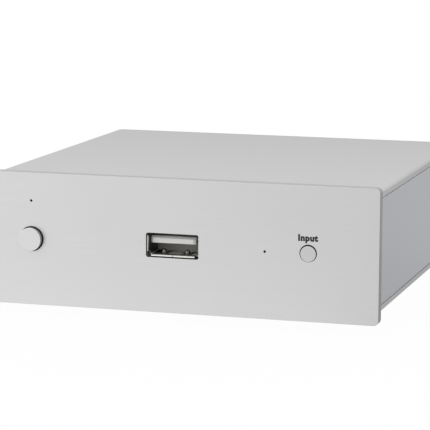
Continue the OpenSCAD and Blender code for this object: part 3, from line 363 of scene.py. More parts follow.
# Ivory moulded plastic, smooth
ivory_plastic = grained("ivory_moulded_plastic", "#F9F9F6", 0.4, (0.5, 0.5, 0.5), contrast=0.03)
# Grey moulded plastic of the holder deep in the socket
grey_plastic = grained("grey_moulded_plastic", "#B4B3B0", 0.5, (0.3, 0.3, 0.3))
# White moulded plastic, smooth and faintly warm
white_plastic = grained("white_moulded_plastic", "#E6E6E3", 0.36, (0.5, 0.5, 0.5), contrast=0.03)
# Red moulded plastic, smooth
red_plastic = grained("red_moulded_plastic", "#A81B22", 0.34, (0.5, 0.5, 0.5), contrast=0.06)
# Smoked acrylic: near black until a lamp shines through it
smoked_acrylic = grained("smoked_acrylic", "#101214", 0.12, (1, 1, 1),
                         contrast=0.1, spread=0.03, bump=0.0005, IOR=1.49)
# Diffused lamp lens: pale greenish plastic
lamp_lens = grained("diffused_lamp_lens", "#C9D0B4", 0.3, (0.5, 0.5, 0.5), contrast=0.04, bump=0.001)
# Solder mask over glass laminate: glossy, with the weave just showing
green_board = grained("green_solder_mask", "#1F4D33", 0.3, (0.6, 0.6, 0.6),
                      contrast=0.15, spread=0.06, bump=0.003)
blue_board = grained("blue_solder_mask", "#173F5C", 0.3, (0.6, 0.6, 0.6),
                     contrast=0.15, spread=0.06, bump=0.003)
# Shrunk plastic sleeve of a capacitor
sleeve_film = grained("dark_shrink_sleeve", "#2B2D33", 0.28, (0.5, 0.5, 0.5), contrast=0.1)
# Moulded rubber: matt dark grey with a fine bloom
rubber = grained("moulded_black_rubber", "#232324", 0.72, (0.25, 0.25, 0.25),
                 contrast=0.25, spread=0.1, bump=0.006)
# Extruded cable jacket
jacket = grained("black_cable_jacket", "#1A1A1A", 0.5, (0.4, 0.4, 0.4),
                 contrast=0.15, spread=0.06, bump=0.003)
# Screen printing inks: matt and slightly uneven
# The black ink also paints the shade on the walls of the lamp pinholes
black_ink_and_shade = grained("black_screen_ink_and_painted_shade", "#0E0E0E", 0.5, (0.15, 0.15, 0.15),
                    contrast=0.2, spread=0.08, bump=0.001)
white_ink = grained("white_screen_ink", "#D8D8D6", 0.5, (0.15, 0.15, 0.15), spread=0.08, bump=0.001)

FINISH = {
    "brushed_aluminium": brushed, "satin_aluminium": satin, "black_anodised": black_sheet,
    "zinc_steel": zinc, "nickel_plate": nickel, "gold_plate": gold, "brass": brass,
    "black_plastic": black_plastic, "ivory_plastic": ivory_plastic, "white_plastic": white_plastic,
    "red_plastic": red_plastic, "clear_plastic": smoked_acrylic, "green_board": green_board,
    "blue_board": blue_board, "capacitor_sleeve": sleeve_film, "foot_rubber": rubber, "lead_jacket": jacket,
}
SLOT = {part["node"]: part["material_slot"] for part in frame["record"]["subparts"]}
for name, slot in SLOT.items():
    frame["nodes"][name].material_slots[0].material = FINISH[slot]
for name in ("left_side_rail", "right_side_rail"):
    frame["nodes"][name].material_slots[0].material = extruded
frame["nodes"]["lan_lamps"].material_slots[0].material = lamp_lens


# Broken edges of the solids that stay: widths, the angle in degrees from which an edge is broken,
# and the reach in metres that joins doubled points
SHEET_BREAK = 0.1
SOCKET_BREAK = 0.12
BREAK_ANGLE = 40
WELD_REACH = 1e-6


def broken_edges(node, width):
    """Breaks a solid's sharp edges by a small round, as tumbling or a mould does."""
    solid = frame["nodes"][node]
    solid.modifiers.new("merged", "WELD").merge_threshold = WELD_REACH
    edge = solid.modifiers.new("edge_break", "BEVEL")
    edge.width = width * MM
    edge.segments = 2
    edge.limit_method = "ANGLE"
    edge.angle_limit = math.radians(BREAK_ANGLE)
    solid.modifiers.new("flat_faces", "WEIGHTED_NORMAL").keep_sharp = True


for name in ("top_cover", "bottom_cover", "left_side_rail", "right_side_rail"):
    broken_edges(name, SHEET_BREAK)
for name in ("lan_shell", "lan_insert", "lan_lamps", "optical_jack", "optical_shutter", "power_inlet",
             "line_out_housing", "rear_panel"):
    broken_edges(name, SOCKET_BREAK)


# Front plate

PLATE_CORNER = 1.3
PLATE_EDGE = 0.03
PLATE_BACK_EDGE = 0.15
CUTOUT_EDGE = 0.05
# Window of the USB socket: width, height, corner radius, and how far its middle lies above the tongue's
USB_WINDOW = (13.88, 6.27, 0.5)
USB_WINDOW_RAISE = 0.055
BUTTON_GAP = 0.24
SOURCE_GAP = 0.17
SOURCE_ROUND = 0.14
# The small button hangs low in its hole by its play: the hole's middle lies above and left of the cap's
SOURCE_PLAY = (-0.03, 0.11)
LAMP_HOLE = 0.6
LAMP_EDGE = 0.03
LAMP_WEB = 0.8
LAMP_SEAT = 2.1
# Reach of the edge finish and its painted shade in from the outline, and the share of its normal along Y
# that makes a face flat
EDGE_REACH = 0.9
FLAT_FROM = 0.99

plate_low, plate_high = box_mm("front_plate")
plate_size = plate_high - plate_low
face_y = plate_low[1]
usb = middle("usb_tongue")[[0, 2]]


def lamp_hole(node):
    """Pinhole, then a wider seat behind a thin web for the light pipe, as an outline with its profile."""
    seat = (LAMP_SEAT - LAMP_HOLE) / 2
    profile = np.array([
        (BAND, 0), (LAMP_EDGE, 0), (0, LAMP_EDGE), (0, LAMP_WEB), (seat, LAMP_WEB), (seat, plate_size[1])])
    return circle(LAMP_HOLE, middle(node)[[0, 2]], steps=32), profile


def button_hole(node, gap, play=(0, 0)):
    """Outline of a round hole with a gap round a button cap, its middle off the cap's by the play."""
    return circle(extent(node)[0] + 2 * gap, middle(node)[[0, 2]] + play)


source_hole = button_hole("source_button_cap", SOURCE_GAP, SOURCE_PLAY)
front = add_piece("front_plate_brushed", plate(
    plate_low[1], plate_high[1],
    rectangle(plate_size[0], plate_size[2], PLATE_CORNER, middle("front_plate")[[0, 2]]),
    [rectangle(*USB_WINDOW, usb + (0, USB_WINDOW_RAISE), steps=6),
     button_hole("power_button_cap", BUTTON_GAP),
     (source_hole, edge_profile(plate_size[1], SOURCE_ROUND, CUTOUT_EDGE)),
     lamp_hole("power_light_pipe"), lamp_hole("source_light_pipe")],
    (PLATE_EDGE, PLATE_BACK_EDGE), (CUTOUT_EDGE, CUTOUT_EDGE)),
    brushed, replaces=["front_plate"])


def faces_of(piece):
    """Normals and middles of a piece's faces, one row each."""
    count = len(piece.data.polygons)
    normals, centres = np.empty(count * 3), np.empty(count * 3)
    piece.data.polygons.foreach_get("normal", normals)
    piece.data.polygons.foreach_get("center", centres)
    return normals.reshape(-1, 3), centres.reshape(-1, 3) / MM


def finish_faces(piece, finish, materials):
    """Gives each face its finish: 0 for the piece's own material, then the further ones by number."""
    for material in materials:
        piece.data.materials.append(material)
    piece.data.polygons.foreach_set("material_index", finish.astype(np.int32))


# The plate's long edges are drawn and its short ends milled, each darker than the face as partly painted
# shade chosen by the way a face is turned; the walls of the pinholes are painted black as painted shade
normals, centres = faces_of(front)
sideways = abs(normals[:, 1]) < FLAT_FROM
outer = ((centres < plate_low + EDGE_REACH) | (centres > plate_high - EDGE_REACH))[:, [0, 2]].any(1)
edge_finish_and_shade = np.where(abs(normals[:, 0]) > abs(normals[:, 2]), 2, 1)
edge_finish_and_shade[~(outer & sideways)] = 0
# Painted shade: the pinholes' walls take the black ink, a dark sheet where the holes are only in shade
for node in ("power_light_pipe", "source_light_pipe"):
    away = np.hypot(*(centres - middle(node))[:, [0, 2]].T)
    edge_finish_and_shade[(away < LAMP_SEAT) & sideways] = 3
finish_faces(front, edge_finish_and_shade, [drawn_edge_and_shade, milled_end_and_shade, black_ink_and_shade])


# Buttons

CAP_EDGE = 0.06
CAP_BAND = 0.15
CAP_WALL = 0.9
CAP_FLOOR = 1.5
# Chamfer at the cap's rear: across and along
CAP_CHAMFER = (0.08, 0.1)
# Faces whose normal has less than this share along Y are the cap's turned side, which takes the painted
# shade
SIDE_BELOW = 0.2


def button_cap(name, node, body, material):
    """Cap turned from bar: flat face, rounded rim, straight side, and a hollow back for the pusher."""
    centre, low = middle(node), box_mm(node)[0]
    radius, length = extent(node)[0] / 2, extent(node)[1]
    bore = radius - CAP_WALL
    across, along = CAP_CHAMFER
    profile = np.vstack([
        [(POLE, 0), (radius - CAP_EDGE - CAP_BAND, 0)],
        quarter(radius - CAP_EDGE, 0, radius, CAP_EDGE),
        [(radius, CAP_EDGE + CAP_BAND), (radius, length - along), (radius - across, length),
         (bore + across, length), (bore, length - along), (bore, CAP_FLOOR), (POLE, CAP_FLOOR)]])
    cap = add_piece(name, lathe(*profile.T, (centre[0], low[1], centre[2])), material, body, [node])
    # Painted shade: the cap's side takes a darker copy of the aluminium
    finish_faces(cap, abs(faces_of(cap)[0][:, 1]) < SIDE_BELOW, [shaded_turned_side])


button_cap("power_button_turned", "power_button_cap", "power_button", turned)
button_cap("source_button_turned", "source_button_cap", "source_button", shaded_blasted)


# Printed words

# Thickness of the ink, and the reach in metres that joins doubled points
INK = 0.02
INK_MERGE = 1e-7
FRONT, REAR = -1, 1
INPUT_HEIGHT = 1.6
INPUT_LEFT = 0.15
INPUT_Z = 23.14


def legend(name, words, height, place, material, facing, weight=0.0, spacing=1.0):
    """Printed words: a text outline filled flat, made a thin mesh, and laid on the front or the rear face.

    Height is the capital's height, place the middle of the baseline, and facing is FRONT or REAR;
    weight thickens the strokes and spacing sets the letters apart.
    """
    curve = bpy.data.curves.new(name, "FONT")
    curve.body = words
    curve.align_x = "CENTER"
    curve.offset = weight
    curve.space_character = spacing
    curve.extrude = INK / 2
    curve.resolution_u = 4
    lettering = bpy.data.objects.new(name, curve)
    mesh = bpy.data.meshes.new_from_object(lettering)
    bpy.data.objects.remove(lettering)
    points = np.empty(len(mesh.vertices) * 3)
    mesh.vertices.foreach_get("co", points)
    x, z, y = points.reshape(-1, 3).T
    scale = height / z.max()
    ink = np.column_stack([
        place[0] - facing * scale * x, place[1] + facing * INK * (y > 0), place[2] + z * scale])
    mesh.vertices.foreach_set("co", (ink * MM).ravel())
    solid = bmesh.new()
    solid.from_mesh(mesh)
    bmesh.ops.remove_doubles(solid, verts=solid.verts, dist=INK_MERGE)
    bmesh.ops.recalc_face_normals(solid, faces=solid.faces)
    solid.to_mesh(mesh)
    solid.free()
    mesh.materials.clear()
    mesh.materials.append(material)
    piece = bpy.data.objects.new(name, mesh)
    bpy.context.scene.collection.objects.link(piece)
    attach(piece, "case")


input_x = middle("source_button_cap")[0] - INPUT_LEFT
legend("input_legend", "Input", INPUT_HEIGHT, (input_x, face_y, INPUT_Z), black_ink_and_shade, FRONT,
       weight=0.06, spacing=1.12)


# USB socket: a thin floor with two spring fingers, a roof, walls and sprung lips

USB_OPEN = (12.9, 5.1)
USB_FLOOR = 2.34
USB_SHEET = 0.3
FLOOR_START = 1.8
# The roof and the right wall end further in than the floor and the left wall
ROOF_DEEPER = 1.6
RIGHT_DEEPER = 0.6
WALL_LAP = 0.1
WALL_ROUND = 0.05
APRON_ROUND = 0.02
NOTCH = 1.2
THIN = {"edges": (0.03, 0.03), "support": 0.02}
THINNER = {"edges": (0.01, 0.01), "support": 0.02}

# Sprung lips: place behind the plate's face, section, width of the lower pair and height of the side ones
LIP_INSET = 0.3
LIP_LENGTH = 0.7
LIP_LAP = 0.1
LIP_EASE = 0.12
LIP_TIP = 0.15
LIP_FLARE_X = 0.22
LIP_FLARE_Z = 0.38
SLOPE_X = 2.4
SLOPE_Z = 1.55
LIP_WIDTH = 11.5
LIP_SEAM = 0.12
LIP_SEAT = 0.01
LIP_HEIGHT = 4.0
LIP_RAISE = 0.4

# Spring fingers and the dimples on them; the left finger's slot has a wide left arm
FINGER_X = 3.1
FINGER_LEFT = 0.1
FINGER_START = 2.0
FINGER_WIDTH = 1.1
FINGER_LENGTH = 7.0
SLOT_WIDTH = 0.8
LEFT_ARMS = (2.4, 0.8)
BUMP_START = 3.2
BUMP_R = 0.74
BUMP_H = 1.1
BUMP_FULLNESS = 0.65
# Angles in degrees at the dimple's foot and top
BUMP_RISE = (-3, 89)


def flared_lip(flare, slope, front_y):
    """Section of a sprung lip: its inner side is a hyperbola, straight at the mouth, easing into the wall.

    Gives depth and distance out from the inner wall; the outer side lies behind it by the lip's thickness,
    which grows from its tip to that of the sheet.
    """
    depth = LIP_LENGTH * np.linspace(0, 1, 16) ** 2
    ahead = flare / slope - depth
    root = np.hypot(ahead, LIP_EASE)
    inner = np.column_stack([front_y + depth, slope / 2 * (ahead + root)])
    normal = np.column_stack([slope / 2 * (1 + ahead / root), np.ones(len(depth))])
    normal /= np.linalg.norm(normal, axis=1, keepdims=True)
    outer = inner + normal * np.linspace(LIP_TIP, USB_SHEET, len(depth))[:, None]
    return np.vstack([inner, outer[::-1]])


def finger_slot(x, y, left_arm):
    """U-shaped slot that frees a spring finger, its tip to the front; its left arm may be wider."""
    b, slot, length = FINGER_WIDTH / 2, SLOT_WIDTH, FINGER_LENGTH
    a, c = b + slot, b + left_arm
    corners = [(-c, 0), (a, 0), (a, length), (b, length), (b, slot), (-b, slot), (-b, length), (-c, length)]
    return np.array(corners) + (x, y)


half_w, half_h = USB_OPEN[0] / 2, USB_OPEN[1] / 2
out_w = half_w + USB_SHEET
usb_back = box_mm("usb_shell")[1][1]
lip_y = face_y + LIP_INSET
tube_y = lip_y + LIP_LENGTH - LIP_LAP
floor_y = lip_y + FLOOR_START
floor_z, roof_z = usb[1] - USB_FLOOR, usb[1] + half_h
lip_z = usb[1] + LIP_RAISE
fingers = [usb[0] - FINGER_X - FINGER_LEFT, usb[0] + FINGER_X - FINGER_LEFT]


def sheet_outline(front_y):
    """Plan of the floor or the roof from its front edge to the socket's back."""
    corners = [(-out_w, front_y), (out_w, front_y), (out_w, usb_back), (-out_w, usb_back)]
    return np.array(corners) + (usb[0], 0)


slots = [finger_slot(x, lip_y + FINGER_START, arm) for x, arm in zip(fingers, LEFT_ARMS)]
add_piece("usb_floor_formed", plate(
    floor_z - USB_SHEET, floor_z, sheet_outline(floor_y), slots, along="z", **THIN),
    tin)
apron = rectangle(LIP_WIDTH, floor_y - tube_y, APRON_ROUND, (usb[0], (tube_y + floor_y) / 2), steps=3)
shell = [plate(roof_z, roof_z + USB_SHEET, sheet_outline(floor_y + ROOF_DEEPER), along="z", **THIN),
         plate(floor_z - USB_SHEET, floor_z, apron, along="z", **THINNER)]
lips = []
for side, deeper in ((-1, 0), (1, RIGHT_DEEPER)):
    wall_x, wall_y = usb[0] + side * (half_w + USB_SHEET / 2), tube_y + deeper
    wall = rectangle(USB_SHEET, USB_OPEN[1] + WALL_LAP, WALL_ROUND, (wall_x, usb[1]), steps=3)
    shell.append(plate(wall_y + NOTCH, usb_back, wall, **THIN))
    # Notches at the corners leave the wall only as high as its lip at the mouth
    low_wall = rectangle(USB_SHEET, LIP_HEIGHT, WALL_ROUND, (wall_x, lip_z), steps=3)
    shell.append(plate(wall_y, wall_y + NOTCH, low_wall, **THIN))
    lip = flared_lip(LIP_FLARE_X, SLOPE_X, lip_y + deeper)[:, ::-1]
    lip = lip * (side, 1) + (usb[0] + side * half_w, 0)
    lips.append(plate(lip_z - LIP_HEIGHT / 2, lip_z + LIP_HEIGHT / 2, lip, along="z", **THIN))
for side in (-1, 1):
    lip = flared_lip(LIP_FLARE_Z, SLOPE_Z, lip_y) * (1, -1) + (0, floor_z + LIP_SEAT)
    ends = sorted((usb[0] + side * LIP_SEAM / 2, usb[0] + side * LIP_WIDTH / 2))
    lips.append(plate(*ends, lip, along="x", **THIN))
# A dimple is a dome whose radius follows a power of the cosine, so that its side is steep and its top broad
rise = np.radians(np.linspace(*BUMP_RISE, 16))
dome = BUMP_R * np.cos(rise) ** BUMP_FULLNESS, BUMP_H * np.sin(rise)
add_piece("usb_spring_dimples", joined(*[
    lathe(*dome, (x, lip_y + BUMP_START, floor_z), "z", steps=40) for x in fingers]),
    shaded_spring_steel)
add_piece("usb_lips_formed", joined(*lips), lit_satin_nickel)
add_piece("usb_shell_formed", joined(*shell), shaded_nickel, replaces=["usb_shell"])

# Tongue: a bar with a long bevel over its front edge and its ends cut off at a slant
TONGUE_W = 11.9
TONGUE_Z = (20.22, 21.95)
TONGUE_LEFT = 0.38
# Cut at each end: across and along
TONGUE_END = (0.6, 0.5)
# Bevel over the front edge, along and down, then the top's fall to the rear and the lower chamfer
TONGUE_BEVEL = (0.9, 0.5)
TONGUE_FALL = 0.9
TONGUE_CHAMFER = 0.15
TONGUE_BASE = 3.3
BASE_LAP = 0.1

tongue_x = usb[0] - TONGUE_LEFT
tongue_y = box_mm("usb_tongue")[0][1]
base_y = usb_back - TONGUE_BASE
under, over = TONGUE_Z
bar = np.array([
    (base_y + BASE_LAP, under), (base_y + BASE_LAP, over - TONGUE_FALL),
    (tongue_y + TONGUE_BEVEL[0], over), (tongue_y, over - TONGUE_BEVEL[1]),
    (tongue_y, under + TONGUE_CHAMFER), (tongue_y + TONGUE_CHAMFER, under)])
inner, outer = TONGUE_W / 2 - TONGUE_END[0], TONGUE_W / 2
stations = tongue_x + np.array([-outer, -inner, inner, outer])[:, None]
slant = tongue_y + np.array([1, 0, 0, 1])[:, None] * TONGUE_END[1]
points = np.stack(np.broadcast_arrays(stations, np.maximum(bar[:, 0], slant), bar[:, 1]), -1).reshape(-1, 3)
sides, last = ring_quads(4, len(bar)).tolist(), 3 * len(bar)
ends = [list(range(len(bar)))[::-1], list(range(last, last + len(bar)))]
add_piece("usb_tongue_moulded", outward(points, sides + ends), ivory_plastic, replaces=["usb_tongue"])

# Contacts let into the tongue's underside: places, then width, thickness and corner radius
CONTACTS = (-3.5, -1.0, 1.0, 3.5)
CONTACT_SIZE = (1.0, 0.15, 0.03)
CONTACT_DROP = 0.03
low, high = box_mm("usb_contacts")
add_piece("usb_contacts_let_in", joined(*[
    plate(low[1], high[1], rectangle(*CONTACT_SIZE, (tongue_x + x, under - CONTACT_DROP), steps=3))
    for x in CONTACTS]), gold, replaces=["usb_contacts"])

# Holder at the socket's back, its face aslant so that the right end stands nearer the mouth
HOLDER_LEAN = (2.8, 3.8)
HOLDER_PLAY = 0.05
half, half_z = half_w - HOLDER_PLAY, half_h - HOLDER_PLAY
holder = np.array([
    (-half, base_y - HOLDER_LEAN[0]), (half, base_y - HOLDER_LEAN[1]), (half, usb_back), (-half, usb_back)])
add_piece("usb_tongue_holder", plate(usb[1] - half_z, usb[1] + half_z, holder + (usb[0], 0), along="z"),
          grey_plastic)


# Feet

FOOT_R = 5.0
FOOT_TOP = 5.7
FOOT_TOP_ROUND = 0.25
FOOT_BORE = 1.6
# Lower rim: its radius, the point where the tapered side meets it, and its round across and up
FOOT_RIM_R = 4.62
FOOT_SIDE = (4.66, 0.75)
FOOT_RIM_ROUND = (0.57, 0.55)
POCKET_R = 3.1
POCKET_TOP = 3.2
POCKET_ROUND = 0.3
FOOT_BAND = 0.15
POCKET_BAND = 0.1


def foot(name, node):
    """Moulded foot: tapered side, rounded rim below, and a pocket that hides its screw."""
    centre = middle(node)
    top_r, pocket_rim = FOOT_R - FOOT_TOP_ROUND, POCKET_R + POCKET_ROUND
    profile = np.vstack([
        [(FOOT_BORE, FOOT_TOP), (top_r - FOOT_BAND, FOOT_TOP)],
        quarter(top_r, FOOT_TOP, FOOT_R, FOOT_TOP - FOOT_TOP_ROUND, steps=5),
        [FOOT_SIDE],
        quarter(FOOT_RIM_R - FOOT_RIM_ROUND[0], 0, FOOT_RIM_R, FOOT_RIM_ROUND[1])[::-1],
        [(pocket_rim + POCKET_BAND, 0)],
        quarter(pocket_rim, 0, POCKET_R, POCKET_ROUND, steps=5),
        [(POCKET_R, POCKET_TOP), (FOOT_BORE, POCKET_TOP)]])
    add_piece(name, lathe(*profile.T, (centre[0], centre[1], 0), "z", closed=True), rubber, replaces=[node])


for corner in ("front_left", "front_right", "rear_left", "rear_right"):
    foot(f"rubber_foot_{corner}", f"foot_{corner}")


# Rear screws

SCREW_HEAD_R = 2.7
SCREW_HEAD_H = 1.9
SCREW_ROUND = 0.85
SCREW_EDGE = 0.05
SCREW_BAND = 0.03
SCREW_CORE = 0.6
SHANK_R = 1.4
SHANK_TOP = 0.2
# Chamfer at the shank's end: across and along
SHANK_CHAMFER = (0.25, 0.3)
# Cross: half its length, half its width, depth, sharp edge, and the cone below its middle across and along
CROSS_ARM = 1.55
CROSS_HALF = 0.42
CROSS_DEPTH = 0.8
CROSS_EDGE = 0.02
CROSS_CONE = (0.7, 0.5)
# Turn of each screw in radians
SCREW_TURNS = (0.3, 1.1, 0.7, 1.4)
panel_y = box_mm("rear_panel")[1][1]


def cross_screw(centre, inner_end, turned_by):
    """Pan head screw: a rounded disc with a cross cut through it, over a turned core, the cross's floor."""
    a, b = CROSS_ARM, CROSS_HALF
    cross = np.array([(a, -b), (a, b), (b, b), (b, a), (-b, a), (-b, b),
                      (-a, b), (-a, -b), (-b, -b), (-b, -a), (b, -a), (b, -b)])
    cos, sin = math.cos(turned_by), math.sin(turned_by)
    cross = cross @ np.array([(cos, sin), (-sin, cos)]) + (centre[0], centre[2])
    rim = circle(2 * SCREW_HEAD_R, (centre[0], centre[2]), steps=64)
    head = plate(centre[1], centre[1] + SCREW_HEAD_H, rim, [cross],
                 (SCREW_EDGE, SCREW_ROUND), (CROSS_EDGE, SCREW_EDGE), support=SCREW_BAND)
    floor, core_r = SCREW_HEAD_H - CROSS_DEPTH, SCREW_HEAD_R - SCREW_CORE
    core = np.array([
        (POLE, inner_end), (SHANK_R - SHANK_CHAMFER[0], inner_end), (SHANK_R, inner_end + SHANK_CHAMFER[1]),
        (SHANK_R, SHANK_TOP), (core_r, SHANK_TOP), (core_r, floor), (CROSS_CONE[0], floor),
        (POLE, floor - CROSS_CONE[1])])
    return joined(head, lathe(*core.T, centre, steps=48))


low, high = box_mm("rear_panel_screws")
spots = [(x, z) for x in (low[0] + SCREW_HEAD_R, high[0] - SCREW_HEAD_R)
         for z in (low[2] + SCREW_HEAD_R, high[2] - SCREW_HEAD_R)]
add_piece("rear_screws_cross_head", joined(*[
    cross_screw((x, panel_y, z), low[1] - panel_y, turned_by)
    for (x, z), turned_by in zip(spots, SCREW_TURNS)]),
    zinc, replaces=["rear_panel_screws"])


# Line out sockets

SLEEVE_WALL = 0.6
SLEEVE_STEP = 0.2
SLEEVE_EDGE = 0.05
SLEEVE_ROUND = 0.3
SLEEVE_FLAT = 0.02
# Groove round the sleeve: its depth, and its four corners along the sleeve
GROOVE_DEPTH = 0.12
GROOVE = (0.7, 0.78, 0.98, 1.06)
INSERT_BORE = 2.05
INSERT_ROUND = 0.15
INSERT_MOUTH = 0.25
INSERT_SEAT = 1.0
PIN_R = 2.0
PIN_ROUND = 0.12
PIN_BORE = 1.6
# Mouth of the centre contact, across and along, and its bore's floor at the wall and on the axis
PIN_MOUTH = (0.15, 0.3)
PIN_FLOOR = (1.2, 1.0)


def turned_ring(name, node, profile):
    """Ring turned about a node's axis from a closed profile of radius and depth, in the node's finish."""
    centre = middle(node) * (1, 0, 1)
    add_piece(name, lathe(*np.vstack(profile).T, centre, closed=True), FINISH[SLOT[node]], replaces=[node])


for channel in ("left", "right"):
    node = f"line_out_sleeve_{channel}"
    back, tip = box_mm(node)[0][1], box_mm(node)[1][1]
    out_r, nose = extent(node)[0] / 2, panel_y + SLEEVE_STEP
    in_r, shank_r, groove_r = out_r - SLEEVE_WALL, out_r - SLEEVE_STEP, out_r - GROOVE_DEPTH
    turned_ring(f"line_out_sleeve_turned_{channel}", node, [
        [(in_r, back), (shank_r, back), (shank_r, nose)],
        [(out_r - SLEEVE_EDGE, nose), (out_r, nose + SLEEVE_EDGE)],
        [(r, nose + d) for r, d in zip((out_r, groove_r, groove_r, out_r), GROOVE)],
        quarter(out_r - SLEEVE_ROUND, tip, out_r, tip - SLEEVE_ROUND)[::-1],
        quarter(out_r - SLEEVE_ROUND - SLEEVE_FLAT, tip, in_r, tip - SLEEVE_ROUND + SLEEVE_FLAT)])
    node = f"line_out_insert_{channel}"
    back, tip = box_mm(node)[0][1], box_mm(node)[1][1]
    out_r, in_r = extent(node)[0] / 2, INSERT_BORE
    turned_ring(f"line_out_insert_moulded_{channel}", node, [
        [(in_r, back + INSERT_SEAT), (in_r, back), (out_r, back)],
        quarter(out_r - INSERT_ROUND, tip, out_r, tip - INSERT_ROUND)[::-1],
        quarter(in_r + INSERT_MOUTH, tip, in_r, tip - INSERT_MOUTH)])

low, high = box_mm("line_out_contacts")
back, tip = low[1], high[1]
contact = np.vstack([
    [(POLE, back), (PIN_R, back)],
    quarter(PIN_R - PIN_ROUND, tip, PIN_R, tip - PIN_ROUND)[::-1],
    quarter(PIN_BORE + PIN_MOUTH[0], tip, PIN_BORE, tip - PIN_MOUTH[1]),
    [(PIN_BORE, back + PIN_FLOOR[0]), (POLE, back + PIN_FLOOR[1])]])
add_piece("line_out_contacts_turned", joined(*[
    lathe(*contact.T, (x, 0, middle("line_out_contacts")[2])) for x in (low[0] + PIN_R, high[0] - PIN_R)]),
    gold, replaces=["line_out_contacts"])


# Antenna socket: tail, flange and neck, then a threaded barrel with a bored mouth and a pin.
# The barrel's radius is a triangle wave along a helix, which fades out and draws in at both ends.

THREAD_R = 3.175
THREAD_PITCH = 0.706
THREAD_DEPTH = 0.24
THREAD_START = 2.7
THREAD_FADE = 0.5
THREAD_DRAW = 0.3
THREAD_ROWS = 76
THREAD_STEPS = 120
TAIL_R = 1.6
FLANGE_R = 3.9
# Flange's two faces behind the panel's outer face
FLANGE = (-3.7, -1.5)
NECK_R = 3.0
MOUTH_R = 2.3
MOUTH_DEPTH = 4.0
CENTRE_PIN_R = 0.65
CENTRE_PIN_INSET = 1.0
SOCKET_CHAMFER = 0.2

back, tip = box_mm("antenna_socket")[0][1], box_mm("antenna_socket")[1][1]
y = np.linspace(panel_y + THREAD_START, tip, THREAD_ROWS)[:, None]
turn = np.linspace(0, 2 * math.pi, THREAD_STEPS, endpoint=False)
wave = abs(((y / THREAD_PITCH - turn / (2 * math.pi)) % 1) * 2 - 1)
ends = np.clip(np.minimum(y - y[0], y[-1] - y) / THREAD_FADE, 0, 1)
barrel = THREAD_R - THREAD_DEPTH * wave * ends - THREAD_DRAW * (1 - ends)
flange_in, flange_out = panel_y + FLANGE[0], panel_y + FLANGE[1]
inside = np.array([
    (POLE, back), (TAIL_R, back), (TAIL_R, flange_in), (FLANGE_R, flange_in), (FLANGE_R, flange_out),
    (NECK_R, flange_out), (NECK_R, panel_y + THREAD_START)])
pin_y = tip - CENTRE_PIN_INSET
mouth = np.array([
    (MOUTH_R + SOCKET_CHAMFER, tip), (MOUTH_R, tip - SOCKET_CHAMFER), (MOUTH_R, tip - MOUTH_DEPTH),
    (CENTRE_PIN_R, tip - MOUTH_DEPTH), (CENTRE_PIN_R, pin_y - SOCKET_CHAMFER),
    (CENTRE_PIN_R - SOCKET_CHAMFER, pin_y), (POLE, pin_y)])
radii = [np.repeat(inside[:, :1], THREAD_STEPS, 1), barrel, np.repeat(mouth[:, :1], THREAD_STEPS, 1)]
depths = [inside[:, 1:], y, mouth[:, 1:]]
add_piece("antenna_socket_threaded", lathe(
    np.concatenate(radii), np.concatenate(depths), middle("antenna_socket") * (1, 0, 1), steps=THREAD_STEPS),
    gold, replaces=["antenna_socket"])

# Antenna nut: a hexagon cut off by a cone at both faces, so that each side ends in arcs, over a washer
NUT_FLATS = 8.0
NUT_FACE = 4.05
NUT_BORE = 3.06
NUT_CONE = 30
NUT_STEPS = 144
WASHER_R = 4.7
WASHER_H = 0.5
WASHER_EDGE = 0.08

nut_low, nut_high = box_mm("antenna_nut")
nut_axis = middle("antenna_nut") * (1, 0, 1)
under, over = nut_low[1], nut_low[1] + WASHER_H
turn = np.linspace(0, 2 * math.pi, NUT_STEPS, endpoint=False)
hexagon = NUT_FLATS / 2 / np.cos((turn + math.pi / 6) % (math.pi / 3) - math.pi / 6)
fall = np.maximum(hexagon - NUT_FACE, 0) * math.tan(math.radians(NUT_CONE))
face, bore = np.minimum(hexagon, NUT_FACE), np.full(NUT_STEPS, NUT_BORE)
bottom, top = np.full(NUT_STEPS, over), np.full(NUT_STEPS, nut_high[1])
nut = lathe(np.stack([bore, face, hexagon, hexagon, face, bore]),
            np.stack([bottom, bottom, bottom + fall, top - fall, top, top]),
            nut_axis, closed=True, steps=NUT_STEPS)
washer = np.array([
    (NUT_BORE, under), (WASHER_R - WASHER_EDGE, under), (WASHER_R, under + WASHER_EDGE),
    (WASHER_R, over - WASHER_EDGE), (WASHER_R - WASHER_EDGE, over), (NUT_BORE, over)])
add_piece("antenna_nut_chamfered", joined(nut, lathe(*washer.T, nut_axis, closed=True)), gold,
          replaces=["antenna_nut"])


# Words over the rear sockets

REAR_HEIGHT = 1.45
REAR_Z = 32.4
ANTENNA_Z = 33.5
CHANNEL_Z = 29.3
for words, node, z in (
        ("ANTENNA", "antenna_socket", ANTENNA_Z), ("LAN", "lan_shell", REAR_Z),
        ("OPTICAL", "optical_jack", REAR_Z), ("LINE OUT", "line_out_housing", REAR_Z),
        ("L", "line_out_sleeve_left", CHANNEL_Z), ("R", "line_out_sleeve_right", CHANNEL_Z),
        ("DC 5V", "power_inlet_pin", REAR_Z)):
    legend("rear_legend_" + words.lower().replace(" ", "_"), words, REAR_HEIGHT,
           (middle(node)[0], panel_y, z), white_ink, REAR)


# Camera that matches the photograph: place, turn in degrees, lens and sensor

CAMERA_PLACE = (0.16870, -0.58692, 0.11696)
CAMERA_YAW = 16.653
CAMERA_PITCH = 9.046
CAMERA_ROLL = 0.251
CAMERA_LENS = 188.47
CAMERA_SENSOR = 36
CAMERA_CLIP = 0.01


